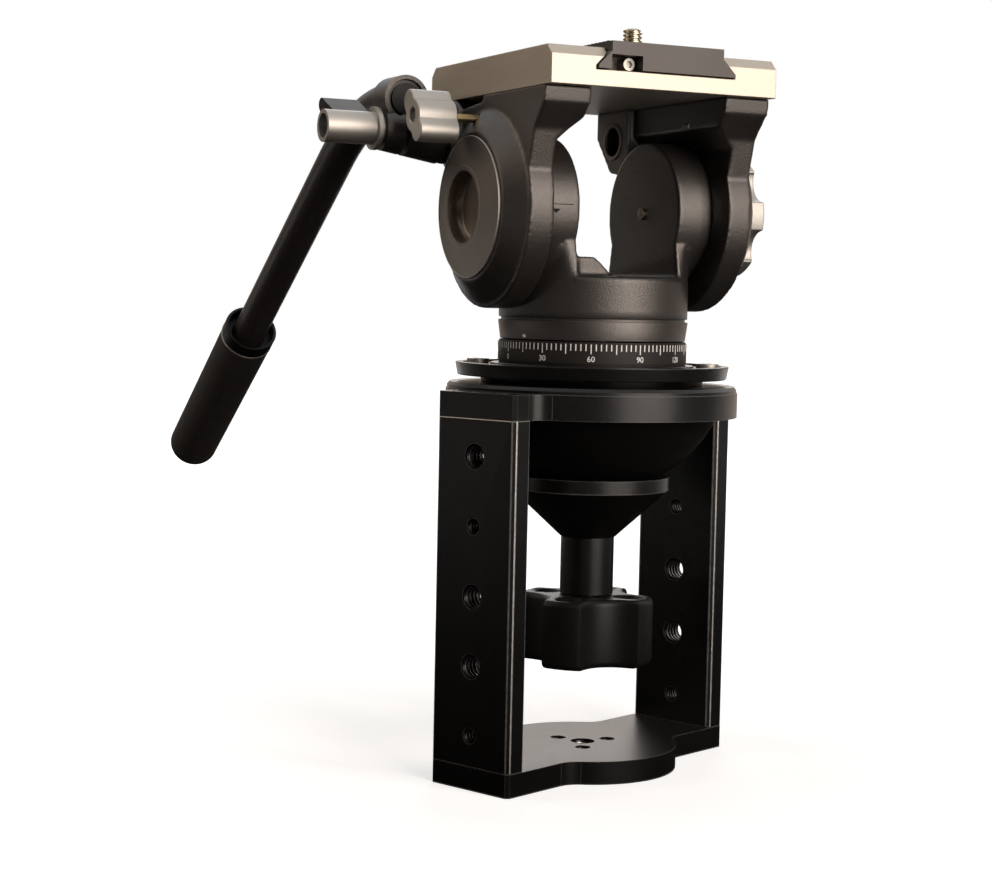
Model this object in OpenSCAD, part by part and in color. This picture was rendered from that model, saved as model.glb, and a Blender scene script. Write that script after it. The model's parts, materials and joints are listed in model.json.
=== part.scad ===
// Fluid video head on a bowl bracket. X is the tilt axis, -Y the lens side, +Z up, millimetres.

/* [Bracket] */
// turn of the bracket about the vertical against the head, degrees
bracket_turn = 22; // [0:1:40]
// thickness of the base plate
base_thick = 7.5; // [6:0.5:9]
// radius of the round middle of the base plate
base_round_r = 31; // [26:1:36]
// radius of the hollows between the round middle and the ends of the base plate
base_hollow_r = 8; // [5:1:12]
// free width between the two side plates
plate_gap = 96; // [95:0.5:100]
// thickness of a side plate
plate_thick = 8; // [7:0.5:10]
// depth of a side plate from front to back
plate_depth = 33; // [30:1:38]
// height of the top of the side plates above the ground
plate_top = 117; // [116:0.5:119]
// height of the lowest tapped hole of a side plate
first_hole = 17.2; // [15:0.1:19]
// spacing of the tapped holes up each side plate
hole_pitch = 22; // [20:0.1:24]
// radius of the small tapped holes, quarter inch
small_hole_r = 2.6; // [2.4:0.1:2.9]
// radius of the large tapped holes, three eighths inch
large_hole_r = 4; // [3.8:0.1:4.3]
// radius of the circle of the three base screws
base_ring_r = 9.5; // [9:0.1:11]
// radius of the bracket ring outside
ring_r = 48; // [47:0.5:50]
// height of the bracket ring
ring_height = 10; // [9:0.5:10.5]
// thickness of the ring lugs above the side plates
lug_thick = 8; // [7:0.5:9]
// radius of the hollows between the ring and its lugs
lug_hollow_r = 7; // [5:0.5:8]

/* [Half ball] */
// radius of the half ball, 75 mm standard
ball_r = 37.5; // [36.5:0.5:38.5]
// outer radius of the bowl under the ring
bowl_r = 46; // [45:0.5:47]
// radius of the flange over the ring
flange_r = 45; // [44:0.5:46.5]
// thickness of the flange
flange_thick = 4.3; // [3.8:0.1:4.6]
// air between the flange and the ring
flange_gap = 2.2; // [2:0.1:2.6]
// radius of the tie rod
rod_r = 5; // [4.5:0.1:5.5]
// radius of the clamp cup rim
cup_r = 26.5; // [25:0.5:28]
// height of the clamp cup
cup_height = 20.2; // [18:0.1:22]
// height of the straight rim of the clamp cup
cup_rim_height = 4.3; // [3.5:0.1:5]
// length of the spacer tube over the tie rod
tube_l = 19.2; // [17:0.1:21]
// radius of the spacer tube over the tie rod
tube_r = 8.8; // [8.4:0.1:9.4]
// reach of a tie knob lobe from its axis
tie_knob_r = 22.3; // [20:0.1:24]
// height of the tie knob
tie_knob_height = 22.5; // [20:0.5:24]
// turn of the tie knob about its axis, degrees
tie_knob_turn = 40; // [0:1:90]

/* [Pan] */
// outer radius of the pan scale ring
pan_r = 31; // [29:0.1:33]
// height of the pan scale ring
scale_height = 7.6; // [7:0.1:8]
// radius of the pan spindle
spindle_r = 9; // [8:0.1:9.5]
// height of the yoke base from the scale ring to its floor
yoke_base = 20.7; // [20:0.1:21.5]
// radius of a yoke cheek about the tilt axis
cheek_r = 23.5; // [22:0.5:24]
// half the free width between the cheeks
cheek_in = 18; // [17:0.1:19]
// thickness of a cheek
cheek_thick = 12.5; // [12:0.1:12.9]
// radius of the pan lock stem
pan_stem_r = 3; // [2.5:0.1:3.4]

/* [Tilt] */
// height of the tilt axis above the yoke floor
axis_rise = 21; // [20.5:0.5:22]
// radius of an arm about the tilt axis
arm_r = 32; // [31:0.5:32]
// free gap between a cheek and an arm
arm_gap = 1; // [0.8:0.1:1.2]
// thickness of an arm
arm_thick = 8.5; // [8:0.1:9]
// radius of the tilt axles
axle_r = 8; // [7:0.1:9]
// radial running clearance of the turning shafts
run_gap = 0.05; // [0.02:0.01:0.08]
// height of the platform underside above the tilt axis
platform_rise = 36; // [35.5:0.5:38]
// outer radius of the satin ring on the left arm
face_ring_r = 22.5; // [21:0.5:23.5]
// inner radius of the satin ring on the left arm
face_ring_in = 11.5; // [10:0.5:12]
// radius of the drag knob
drag_knob_r = 20.5; // [18:0.5:24]
// thickness of the drag knob
drag_knob_thick = 7; // [6:0.5:10]
// reach of the tilt lock knob from its axis
lock_knob_r = 9.5; // [8.5:0.1:9.7]

/* [Platform] */
// width of the platform
platform_w = 80; // [79:0.5:84]
// length of the platform
platform_l = 88; // [86:1:92]
// height of the platform
platform_h = 12; // [11.5:0.1:12.5]
// half width of the dovetail slot at its floor
slot_half = 24.6; // [24:0.1:25.2]
// depth of the dovetail slot
slot_depth = 6.9; // [6.4:0.1:7.4]
// width that each side of the slot draws in above its floor
slot_undercut = 4.2; // [3.5:0.1:4.5]
// free gap round the sliding plate
slide_gap = 0.3; // [0.25:0.01:0.35]
// length of the quick release plate
plate_l = 84; // [78:1:88]
// height of the quick release plate
plate_h = 8.5; // [8:0.1:9.5]
// radius of the camera screw, quarter inch
camera_screw_r = 3.1; // [2.9:0.05:3.15]
// length of the camera screw above the plate
camera_screw_out = 7.2; // [5:0.1:8]

/* [Handle] */
// distance of the rosette behind the tilt axis
rosette_y = 28; // [27.5:0.5:29]
// height of the rosette above the tilt axis
rosette_z = 25.5; // [24.5:0.1:25.5]
// radius of the rosettes
rosette_r = 10.4; // [10:0.1:10.5]
// number of rosette ridges
ridge_count = 24; // [18:1:28]
// height of the rosette ridges
ridge_h = 0.8; // [0.6:0.1:1]
// radius of the clamp bolt
bolt_r = 3; // [2.6:0.1:3.2]
// length of the clamp body along the bolt
clamp_l = 19.5; // [19:0.5:22]
// radius of the clamp barrel
barrel_r = 5.3; // [5:0.1:5.8]
// length of the clamp barrel
barrel_l = 18.8; // [17:0.1:20]
// radius of the handle tube
handle_r = 6.3; // [6:0.1:6.6]
// outer radius of the clamp boss round the tube
boss_r = 7.7; // [7.6:0.1:8.5]
// fall of the handle below level, degrees
handle_fall = 36; // [25:1:40]
// radius of the bend of the handle
bend_r = 84; // [60:1:90]
// turn of the handle about the clamp's boss, outwards, degrees
handle_turn = 1.3; // [0:0.1:5]
// length of the tube from the bend to the grip
handle_l = 105; // [90:1:140]
// length of the grip
grip_l = 93.5; // [80:0.5:110]
// radius of the grip
grip_r = 10.2; // [9.6:0.1:11]

/* [Hidden] */
$fn = 64;
fit = 0.02;
plate_x = plate_gap / 2;
plate_out = plate_x + plate_thick;
plate_rise = plate_top - base_thick;
mid_z = base_thick + plate_rise / 2;
plate_bevel = 1.6;
blend_step = 0.05;
screw_r = 2;
screw_head = 3.4;
head_room = 0.2;
ring_top = plate_top + ring_height;
ball_z = ring_top + 9.5;
seat_gap = 0.3;
flange_low = ring_top + flange_gap;
flange_top = flange_low + flange_thick;
cup_gap = 0.3;
cup_seat = bowl_r + cup_gap;
cup_top = ball_z - sqrt(cup_seat * cup_seat - cup_r * cup_r) - 1.8;
cup_rim = cup_top - cup_rim_height;
cup_low = cup_top - cup_height;
tie_gap = 0.3;
tie_top = cup_low - tube_l - tie_gap;
tie_low = tie_top - tie_knob_height;
scale_top = flange_top + scale_height;
yoke_low = scale_top + 0.3;
floor_z = yoke_low + yoke_base;
axis_z = floor_z + axis_rise;
cheek_out = cheek_in + cheek_thick;
collar_r = cheek_out + 0.5;
arm_in = cheek_out + arm_gap;
arm_out = arm_in + arm_thick;
cheek_room = 0.8;
dish_out = arm_out + 5.5;
bush_r = axle_r + 3;
bush_deep = 10;
platform_z = axis_z + platform_rise;
floor_slot = platform_z + platform_h - slot_depth;
slot_top_half = slot_half - slot_undercut;
slot_foot = 1.2;
slot_lip = slot_foot + slot_undercut;
ros_z = axis_z + rosette_z;
ros_face = arm_out + 3.6;
clamp_face = ros_face + 2 * ridge_h + 0.4;
clamp_end = clamp_face + clamp_l;
boss_x = clamp_face + 12.7;
boss_z = ros_z + bolt_r + handle_r + 0.4;
boss_half = 5.6;
boss_front = rosette_y - boss_half;
boss_back = rosette_y + boss_half;
bend_y = boss_back;
tube_bite = 30;
collar_l = 5.6;
collar_deep = 4.2;
collar_wall = 1.3;
band_l = 1;
screw_y = -22;
lock_y = 5;
lock_z = axis_z + 28.4;
lock_stem_r = 1.3;
lock_out = arm_out + 10.3;
lug_top = plate_top + lug_thick;
rim_z = max(ring_top - 1, lug_top + 0.2);
ear_front = platform_l / 2 - 3.5;

// draws children with their z axis turned to +X
module along_x() {
    rotate([0, 90, 0]) children();
}

// draws children with their z axis turned to +Y
module along_y() {
    rotate([-90, 0, 0]) children();
}

// extrudes a flat Y,Z outline along X
module yz_slab(x0, thick) {
    translate([x0, 0, 0]) rotate([90, 0, 90]) linear_extrude(thick) children();
}

// extrudes a flat X,Z outline along Y
module xz_slab(y0, long) {
    translate([0, y0 + long, 0]) rotate([90, 0, 0]) linear_extrude(long) children();
}

// places children in the turned frame of the bracket
module in_bracket() {
    rotate([0, 0, bracket_turn]) children();
}

// a plain pipe
module pipe(r_out, r_in, h) {
    difference() {
        cylinder(r = r_out, h = h);
        translate([0, 0, -1]) cylinder(r = r_in, h = h + 2);
    }
}

// a socket head screw pointing down, head above z = 0
module socket_screw(r, head_r, head_h, long) {
    difference() {
        union() {
            cylinder(r = head_r, h = head_h);
            translate([0, 0, -long]) cylinder(r = r, h = long + 0.1);
        }
        translate([0, 0, head_h - 1.6]) cylinder(r = head_r * 0.55, h = 2, $fn = 6);
    }
}

function hole_z(i) = first_hole + i * hole_pitch;
function large_hole(i) = i == 1 || i == 2 || i == 4;
lug_x = plate_out - screw_head - head_room - 0.7;
lug_xy = [for (x = [-1, 1], y = [-1, 1]) [x * lug_x, y * plate_depth * 0.3]];

// cuts the upright edges of the bracket's outer corners
module corner_cuts(z0, h) {
    for (x = [-1, 1], y = [-1, 1]) translate([x * plate_out, y * plate_depth / 2, z0 + h / 2])
        rotate([0, 0, 45]) cube([plate_bevel, plate_bevel, h], center = true);
}

// flat outline of a strip with a round middle and a hollow in each corner between them
module strip_outline(round_r, hollow_r) {
    half = plate_depth / 2;
    far = round_r + hollow_r;
    hollow_y = half + hollow_r;
    hollow_x = sqrt(far * far - hollow_y * hollow_y);
    share = (round_r - 1) / far;
    square([2 * plate_out, plate_depth], center = true);
    circle(r = round_r, $fn = 128);
    for (x = [-1, 1], y = [-1, 1]) scale([x, y]) difference() {
        polygon([[0, 0], [hollow_x, half], [hollow_x, hollow_y], [share * hollow_x, share * hollow_y]]);
        translate([hollow_x, hollow_y]) circle(r = hollow_r - blend_step);
    }
}

module base_plate() color([0.05, 0.05, 0.05]) in_bracket() {
    difference() {
        linear_extrude(base_thick) strip_outline(base_round_r, base_hollow_r);
        translate([0, 0, -1]) cylinder(r = large_hole_r, h = base_thick + 2);
        for (a = [100, 220, 340]) rotate([0, 0, a]) translate([base_ring_r, 0, -1])
            cylinder(r = small_hole_r, h = base_thick + 2);
        for (p = lug_xy) translate([p[0], p[1], -1]) {
            cylinder(r = screw_r + fit, h = base_thick + 2);
            cylinder(r = screw_head + head_room, h = 5);
        }
        corner_cuts(-1, base_thick + 2);
    }
}

// one upright plate with its row of tapped holes
module side_plate(side) {
    in_bracket() difference() {
        translate([side * (plate_x + plate_thick / 2), 0, mid_z])
            cube([plate_thick, plate_depth, plate_rise], center = true);
        for (sx = [-1, 1], sy = [-1, 1])
            translate([side * (plate_x + plate_thick / 2) + sx * plate_thick / 2, sy * plate_depth / 2, 0])
                rotate([0, 0, 45]) cube([plate_bevel, plate_bevel, 400], center = true);
        for (i = [0 : 4]) translate([side * plate_x - 1 - (side < 0 ? plate_thick : 0), 0, hole_z(i)])
            along_x() cylinder(r = large_hole(i) ? large_hole_r : small_hole_r, h = plate_thick + 2);
        for (p = lug_xy) if (p[0] * side > 0) translate([p[0], p[1], 0]) {
            translate([0, 0, base_thick - 1]) cylinder(r = screw_r + fit, h = 11);
            translate([0, 0, plate_top - 10]) cylinder(r = screw_r + fit, h = 11);
        }
    }
}

module side_plate_left() color([0.05, 0.05, 0.05]) side_plate(-1);
module side_plate_right() color([0.05, 0.05, 0.05]) side_plate(1);

module bowl_ring() color([0.06, 0.06, 0.06]) difference() {
    union() {
        in_bracket() translate([0, 0, plate_top]) linear_extrude(lug_thick)
            strip_outline(ring_r, lug_hollow_r);
        translate([0, 0, plate_top + 2]) cylinder(r = ring_r - 0.4, h = rim_z - plate_top - 2, $fn = 128);
        translate([0, 0, rim_z])
            cylinder(r1 = ring_r - 0.4, r2 = ring_r - 1.2, h = ring_top - rim_z, $fn = 128);
        intersection() {
            translate([0, 0, ball_z]) sphere(r = bowl_r);
            translate([0, 0, 80]) cylinder(r = 60, h = plate_top - 79);
        }
    }
    translate([0, 0, ball_z]) sphere(r = ball_r + seat_gap);
    translate([0, 0, 60]) cylinder(r = 15, h = 60);
    translate([0, 0, ball_z - 0.01]) cylinder(r = 60, h = 40);
    in_bracket() for (p = lug_xy) translate([p[0], p[1], plate_top]) {
        translate([0, 0, -1]) cylinder(r = screw_r + fit, h = lug_thick + 2);
        translate([0, 0, lug_thick - 4.2]) cylinder(r = screw_head + head_room, h = 20);
    }
    in_bracket() corner_cuts(plate_top - 1, ring_height + 2);
}

module lug_screws() color([0.2, 0.2, 0.2]) in_bracket()
    for (p = lug_xy) translate([p[0], p[1], lug_top - 4.2]) socket_screw(screw_r, screw_head, 4, 12);

module base_screws() color([0.2, 0.2, 0.2]) in_bracket()
    for (p = lug_xy) translate([p[0], p[1], 4]) rotate([180, 0, 0])
        socket_screw(screw_r, screw_head, 3.8, 12);

flange_xy = [for (a = [145, 325]) [38 * cos(a), 38 * sin(a)]];

module half_ball() color([0.05, 0.05, 0.05]) difference() {
    union() {
        translate([0, 0, flange_low]) cylinder(r1 = flange_r - 0.8, r2 = flange_r, h = flange_thick);
        intersection() {
            translate([0, 0, ball_z]) sphere(r = ball_r);
            translate([0, 0, ball_z - 32.5]) cylinder(r = 50, h = flange_low - ball_z + 33);
        }
    }
    translate([0, 0, flange_top - 1]) pipe(42.5, 33.5, 3);
    translate([0, 0, ball_z - 40]) cylinder(r = rod_r + fit, h = 26);
    for (p = flange_xy) translate([p[0], p[1], flange_low + 1]) cylinder(r = 2 + fit, h = 8);
}

module flange_screws() color([0.75, 0.75, 0.75])
    for (p = flange_xy) translate([p[0], p[1], flange_top - 1]) socket_screw(2, 3.7, 1.9, 2.1);

module tie_rod() color([0.5, 0.5, 0.5])
    translate([0, 0, tie_low + 6]) cylinder(r = rod_r, h = ball_z - 14 - tie_low - 6);

module clamp_cup() color([0.07, 0.07, 0.07]) difference() {
    union() {
        translate([0, 0, cup_rim]) cylinder(r = cup_r, h = cup_top - cup_rim);
        translate([0, 0, cup_low]) cylinder(r1 = tube_r + 0.4, r2 = cup_r, h = cup_rim - cup_low + 0.01);
    }
    translate([0, 0, ball_z]) sphere(r = cup_seat);
    translate([0, 0, cup_low - 1]) cylinder(r = rod_r + fit, h = 40);
}

module spacer_tube() color([0.06, 0.06, 0.06])
    translate([0, 0, tie_top + tie_gap]) pipe(tube_r, rod_r + fit, tube_l);

// flat outline of the four lobed tie knob
module tie_outline() {
    hollow = tie_knob_r * 0.6;
    difference() {
        circle(r = tie_knob_r, $fn = 96);
        for (a = [45 : 90 : 315]) rotate(a + tie_knob_turn) translate([0.69 * tie_knob_r + hollow, 0])
            circle(r = hollow, $fn = 96);
    }
}

module tie_knob() color([0.05, 0.05, 0.05]) difference() {
    intersection() {
        translate([0, 0, tie_low]) linear_extrude(tie_knob_height) tie_outline();
        union() {
            translate([0, 0, tie_low]) cylinder(r1 = tie_knob_r - 2.5, r2 = tie_knob_r, h = 2.5);
            translate([0, 0, tie_low + 2.5]) cylinder(r = tie_knob_r, h = tie_knob_height - 4);
            translate([0, 0, tie_top - 1.5]) cylinder(r1 = tie_knob_r, r2 = tie_knob_r - 1.5, h = 1.5);
        }
    }
    translate([0, 0, tie_low + 4]) cylinder(r = 8 + fit, h = 14);
    translate([0, 0, tie_low + 4]) cylinder(r = rod_r + 0.3, h = 40);
}

module tie_insert() color([0.75, 0.6, 0.3])
    translate([0, 0, tie_low + 4]) pipe(8, rod_r + run_gap, 14);

module pan_spindle() color([0.6, 0.6, 0.6]) {
    translate([0, 0, flange_top]) cylinder(r = 20, h = 3);
    translate([0, 0, flange_top + 3]) cylinder(r = spindle_r, h = floor_z - 4.5 - flange_top - 3);
}

module scale_ring() color([0.13, 0.13, 0.13]) translate([0, 0, flange_top]) difference() {
    union() {
        cylinder(r = pan_r - 0.3, h = scale_height);
        translate([0, 0, 0.6]) cylinder(r = pan_r, h = scale_height - 1.2);
    }
    translate([0, 0, -1]) cylinder(r = 22, h = scale_height + 2);
}

// one cheek of the yoke, a disc on a flared foot, side = -1 or 1
module cheek(side) {
    x0 = side > 0 ? cheek_in : -cheek_out;
    difference() {
        union() {
            translate([x0, 0, axis_z]) along_x() cylinder(r = cheek_r, h = cheek_thick, $fn = 96);
            intersection() {
                yz_slab(x0, cheek_thick) polygon([[-24, floor_z - 4], [24, floor_z - 4],
                    [cheek_r - 2.5, axis_z - 8], [2.5 - cheek_r, axis_z - 8]]);
                translate([0, 0, floor_z - 6]) cylinder(r = collar_r - 0.4, h = 60);
            }
        }
        translate([side > 0 ? cheek_out - bush_deep : -cheek_out - 1, 0, axis_z]) along_x()
            cylinder(r = bush_r + fit, h = bush_deep + 1);
        translate([x0 - 1, 0, axis_z]) along_x() cylinder(r = 1 + fit, h = cheek_thick + 2);
    }
}

// sloped block beside the left cheek that stops the tilt
module tilt_stop() {
    rise = 6;
    xz_slab(-22, 10) polygon([[-cheek_in - 1, floor_z - 1], [-cheek_in - 1, floor_z + rise],
        [6.5 - cheek_in, floor_z + rise], [13.3 - cheek_in, floor_z], [13.3 - cheek_in, floor_z - 1]]);
}

module yoke() color([0.07, 0.07, 0.07]) difference() {
    union() {
        translate([0, 0, yoke_low]) cylinder(r1 = collar_r - 0.6, r2 = collar_r + 0.2, h = 6.2);
        translate([0, 0, yoke_low + 6.2]) cylinder(r = collar_r - 0.8, h = 0.9);
        translate([0, 0, yoke_low + 7.1]) cylinder(r = collar_r, h = yoke_base - 8.1);
        translate([0, 0, floor_z - 1]) cylinder(r1 = collar_r, r2 = collar_r - 1, h = 1);
        cheek(-1);
        cheek(1);
        tilt_stop();
    }
    translate([0, 0, yoke_low - 1]) cylinder(r = 20.5, h = 4.6);
    translate([0, 0, yoke_low]) cylinder(r = spindle_r + 3 + fit, h = floor_z - 5 - yoke_low);
    translate([0, 0, floor_z - 5.1]) cylinder(r = 14, h = 3.6);
    translate([0, 24, floor_z - 11]) along_y() cylinder(r = pan_stem_r + run_gap, h = 20);
}

module pan_bush() color([0.75, 0.6, 0.3])
    translate([0, 0, yoke_low + 3.6]) pipe(spindle_r + 3, spindle_r + run_gap, yoke_base - 8.7);

module pan_drag_disc() color([0.3, 0.3, 0.32])
    translate([0, 0, yoke_low + 0.9]) pipe(20, spindle_r + 0.5, 2.7);

module spindle_nut() color([0.6, 0.6, 0.6])
    translate([0, 0, floor_z - 4.5]) cylinder(r = 12, h = 2, $fn = 6);

module cheek_screws() color([0.75, 0.6, 0.35]) for (s = [-1, 1]) translate([s * cheek_in, 0, axis_z])
    rotate([0, s > 0 ? -90 : 90, 0]) difference() {
        union() {
            cylinder(r = 2, h = 1);
            translate([0, 0, -2.2]) cylinder(r = 1, h = 2.3);
        }
        translate([0, 0, 1]) cube([6, 0.6, 1], center = true);
    }

module tilt_bushes() color([0.75, 0.6, 0.3]) for (s = [-1, 1])
    translate([s > 0 ? cheek_out - bush_deep : -cheek_out, 0, axis_z]) along_x()
        pipe(bush_r, axle_r + run_gap, bush_deep);

module friction_washers() color([0.5, 0.45, 0.4]) for (s = [-1, 1])
    translate([s > 0 ? cheek_out : -cheek_out - arm_gap + 0.3, 0, axis_z]) along_x()
        pipe(cheek_r - 2, axle_r + 0.4, arm_gap - 0.3);

module pan_lock_stem() color([0.75, 0.6, 0.35])
    translate([0, 24.6, floor_z - 11]) along_y() cylinder(r = pan_stem_r, h = 11.4);

// two lobed wing knob outline about its axis
module wing_outline(reach) {
    lobe = reach * 0.4;
    circle(r = reach * 0.56);
    for (s = [-1, 1]) translate([0, s * (reach - lobe)]) circle(r = lobe);
    square([2 * lobe, 2 * (reach - lobe)], center = true);
}

module pan_lock_knob() color([0.7, 0.7, 0.7])
    translate([0, 36, floor_z - 11]) along_y() difference() {
        rotate([0, 0, 60]) linear_extrude(12) wing_outline(8.5);
        translate([0, 0, 10.6]) cylinder(r = 2.4, h = 3, $fn = 6);
    }

// front outline of the platform, a block with a dovetail slot along Y
module platform_outline() {
    w = platform_w / 2;
    top = platform_z + platform_h;
    right = [[w, platform_z], [w, top], [slot_top_half, top], [slot_top_half, floor_slot + slot_lip],
        [slot_half, floor_slot + slot_foot], [slot_half, floor_slot]];
    left = [for (i = [5 : -1 : 0]) [-right[i][0], right[i][1]]];
    polygon(concat(right, left));
}

arm_screw_xy = [for (x = [-1, 1], y = [-30, -5]) [x * 32, y]];

module platform() color([0.55, 0.48, 0.38]) difference() {
    end = platform_l / 2;
    top = platform_z + platform_h;
    bevel = 3;
    xz_slab(-platform_l / 2, platform_l) platform_outline();
    for (s = [-1, 1]) yz_slab(-60, 120)
        polygon([[s * (end + 1), top - bevel - 1], [s * (end - bevel - 1), top + 1],
            [s * (end + 1), top + 1]]);
    for (p = arm_screw_xy) translate([p[0], p[1], platform_z]) {
        translate([0, 0, -1]) cylinder(r = 2 + fit, h = 40);
        translate([0, 0, platform_h - 4.2]) cylinder(r = 3.8, h = 10);
    }
}

// side outline of an arm: disc, ear under the platform and rear lobe for the rosette
module arm_outline() {
    top = platform_z;
    translate([0, axis_z]) circle(r = arm_r, $fn = 128);
    polygon([[-ear_front, top], [-ear_front + 0.8, top - 5], [-33.4, top - 12.5], [2 - arm_r, axis_z + 11],
        [0, axis_z], [26, axis_z + 8], [rosette_y + 8, ros_z - 8], [rosette_y + 8, ros_z + 6],
        [20, top - 3.5], [4, top - 2], [3, top]]);
    intersection() {
        translate([rosette_y, ros_z]) circle(r = rosette_r + 0.7);
        translate([0, top - 40]) square([60, 40]);
    }
}

// ring of radial ridges on a rosette face, rising along +z
module ridges() {
    for (i = [0 : ridge_count - 1]) rotate([0, 0, i * 360 / ridge_count])
        translate([5, -0.45, -0.2]) cube([rosette_r - 5.2, 0.9, ridge_h + 0.2]);
}

// section of the inner flange of an arm, a sloped shelf under the platform
module flange_section() {
    inner = arm_in - 7.5;
    polygon([[arm_in + 1, platform_z - 17], [inner, platform_z - 9], [inner, platform_z],
        [arm_in + 1, platform_z]]);
}

// side outline of the block that carries the rear boss under the platform
module boss_outline() {
    polygon([[rosette_y - 10, platform_z], [rosette_y + 11.8, platform_z], [rosette_y + 11.8, ros_z + 1.6],
        [rosette_y + 2, ros_z - 10.5], [rosette_y - 4, ros_z - 11.5], [rosette_y - 10, ros_z - 6]]);
}

// inner side of an arm: the flange, then the boss block, clear of the cheek that turns past them
module arm_inside() {
    boss_in = arm_in - 10;
    difference() {
        union() {
            intersection() {
                xz_slab(-ear_front, ear_front + 3) flange_section();
                yz_slab(boss_in, 60) arm_outline();
            }
            xz_slab(2, rosette_y - 2) flange_section();
            yz_slab(boss_in, arm_in - boss_in + 1) boss_outline();
        }
        translate([0, 0, axis_z]) along_x() cylinder(r = cheek_r + cheek_room, h = arm_in);
    }
}

// an arm drawn on the right side
module arm_core() {
    yz_slab(arm_in, arm_thick) arm_outline();
    arm_inside();
    translate([arm_out - 0.01, rosette_y, ros_z]) along_x()
        cylinder(r = rosette_r, h = ros_face - arm_out + 0.01);
    translate([ros_face, rosette_y, ros_z]) along_x() ridges();
}

// holes every arm has: axle, rosette bolt and nut, platform screws
module arm_holes() {
    translate([arm_in - 1, 0, axis_z]) along_x() cylinder(r = axle_r + fit, h = 6);
    translate([0, rosette_y, ros_z]) along_x() cylinder(r = bolt_r + 0.1, h = 80);
    translate([15, rosette_y, ros_z]) along_x() cylinder(r = 5, h = 14);
    for (p = arm_screw_xy) translate([p[0], p[1], platform_z - 8]) cylinder(r = 2 + fit, h = 20);
}

module arm_left() color([0.06, 0.06, 0.06]) difference() {
    mirror([1, 0, 0]) difference() {
        union() {
            arm_core();
            translate([arm_out - 0.01, 0, axis_z]) along_x()
                cylinder(r1 = arm_r - 1, r2 = face_ring_r + 1, h = dish_out - arm_out + 0.01);
        }
        arm_holes();
        translate([dish_out - 3.5, 0, axis_z]) along_x() cylinder(r = face_ring_in, h = 20);
        translate([30, lock_y, lock_z]) along_x() cylinder(r = lock_stem_r + run_gap, h = 20);
    }
}

module arm_right() color([0.06, 0.06, 0.06]) difference() {
    union() {
        arm_core();
        translate([arm_out - 0.01, 0, axis_z]) along_x() cylinder(r1 = arm_r - 1.5, r2 = arm_r - 4, h = 3.01);
        translate([arm_out + 3, 0, axis_z]) along_x() cylinder(r1 = arm_r - 4, r2 = arm_r - 12, h = 2);
    }
    arm_holes();
    translate([arm_in + 5.5, 0, axis_z]) along_x() cylinder(r = 4 + run_gap, h = 20);
}

module axle_left() color([0.7, 0.7, 0.72])
    translate([-arm_in - 5, 0, axis_z]) along_x() cylinder(r = axle_r, h = arm_gap + 5 + bush_deep - 0.5);

module axle_right() color([0.7, 0.7, 0.72])
    translate([cheek_out - bush_deep + 0.5, 0, axis_z]) along_x() difference() {
        cylinder(r = axle_r, h = arm_gap + 5 + bush_deep - 0.5);
        translate([0, 0, 4]) cylinder(r = 4 + run_gap, h = 30);
    }

// satin ring, a shallow cone on the left arm
module face_ring() color([0.5, 0.5, 0.5]) translate([-dish_out, 0, axis_z]) rotate([0, -90, 0]) difference() {
    union() {
        cylinder(r = face_ring_r, h = 0.6);
        translate([0, 0, 0.6]) cylinder(r1 = face_ring_r - 0.4, r2 = face_ring_in + 1.5, h = 2);
    }
    translate([0, 0, -1]) cylinder(r = face_ring_in, h = 8);
}

module hub_cap() color([0.16, 0.13, 0.12])
    translate([-dish_out + 3.5, 0, axis_z]) rotate([0, -90, 0]) difference() {
        cylinder(r = face_ring_in - fit, h = 2.4);
        translate([0, 0, 1.2]) cylinder(r = face_ring_in - 2.5, h = 3);
    }

module arm_screws() color([0.25, 0.25, 0.25]) for (p = arm_screw_xy)
    translate([p[0], p[1], platform_z + platform_h - 4.2]) socket_screw(2, 3.6, 3.8, 14);

module drag_shaft() color([0.7, 0.7, 0.72])
    translate([arm_in + 5.8, 0, axis_z]) along_x() cylinder(r = 4, h = arm_out - arm_in + 4.7);

module drag_knob() color([0.75, 0.75, 0.75])
    translate([arm_out + 5.5, 0, axis_z]) along_x() difference() {
        linear_extrude(drag_knob_thick) difference() {
            circle(r = drag_knob_r, $fn = 96);
            for (a = [0 : 60 : 300]) rotate(a) translate([drag_knob_r + 3, 0]) circle(r = 7, $fn = 48);
        }
        translate([0, 0, -1]) cylinder(r = 4 + fit, h = 6);
        translate([0, 0, drag_knob_thick - 1.5]) cylinder(r = drag_knob_r - 8, h = 4);
    }

module lock_stem() color([0.8, 0.62, 0.35])
    translate([-lock_out, lock_y, lock_z]) along_x() cylinder(r = lock_stem_r, h = lock_out - arm_in - 0.4);

module lock_knob() color([0.75, 0.75, 0.75])
    translate([-lock_out, lock_y, lock_z]) rotate([0, -90, 0]) difference() {
        rotate([0, 0, 125]) linear_extrude(13.5) wing_outline(lock_knob_r);
        translate([0, 0, 12]) cylinder(r = 2.5, h = 3, $fn = 6);
    }

plate_z = floor_slot + slide_gap;
notch_x = 4.7 - slot_half;
notch_w = 10.8;
stop_x = notch_x + notch_w - 2.6;
stop_z = plate_z + 2.1;
plate_front = -platform_l / 2 - 1;
pad_x = 13;
pad_w = 8;
pad_end = 8;
pad_l = plate_l - 2 * pad_end;

// front outline of the quick release plate
module plate_outline() {
    low = slot_half - slide_gap;
    top = slot_top_half - 2 * slide_gap;
    foot = plate_z + slot_foot - slide_gap;
    knee = foot + low - top;
    polygon([[-low, plate_z], [low, plate_z], [low, foot], [top, knee], [top, plate_z + plate_h],
        [-top, plate_z + plate_h], [-top, knee], [-low, foot]]);
}

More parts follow.
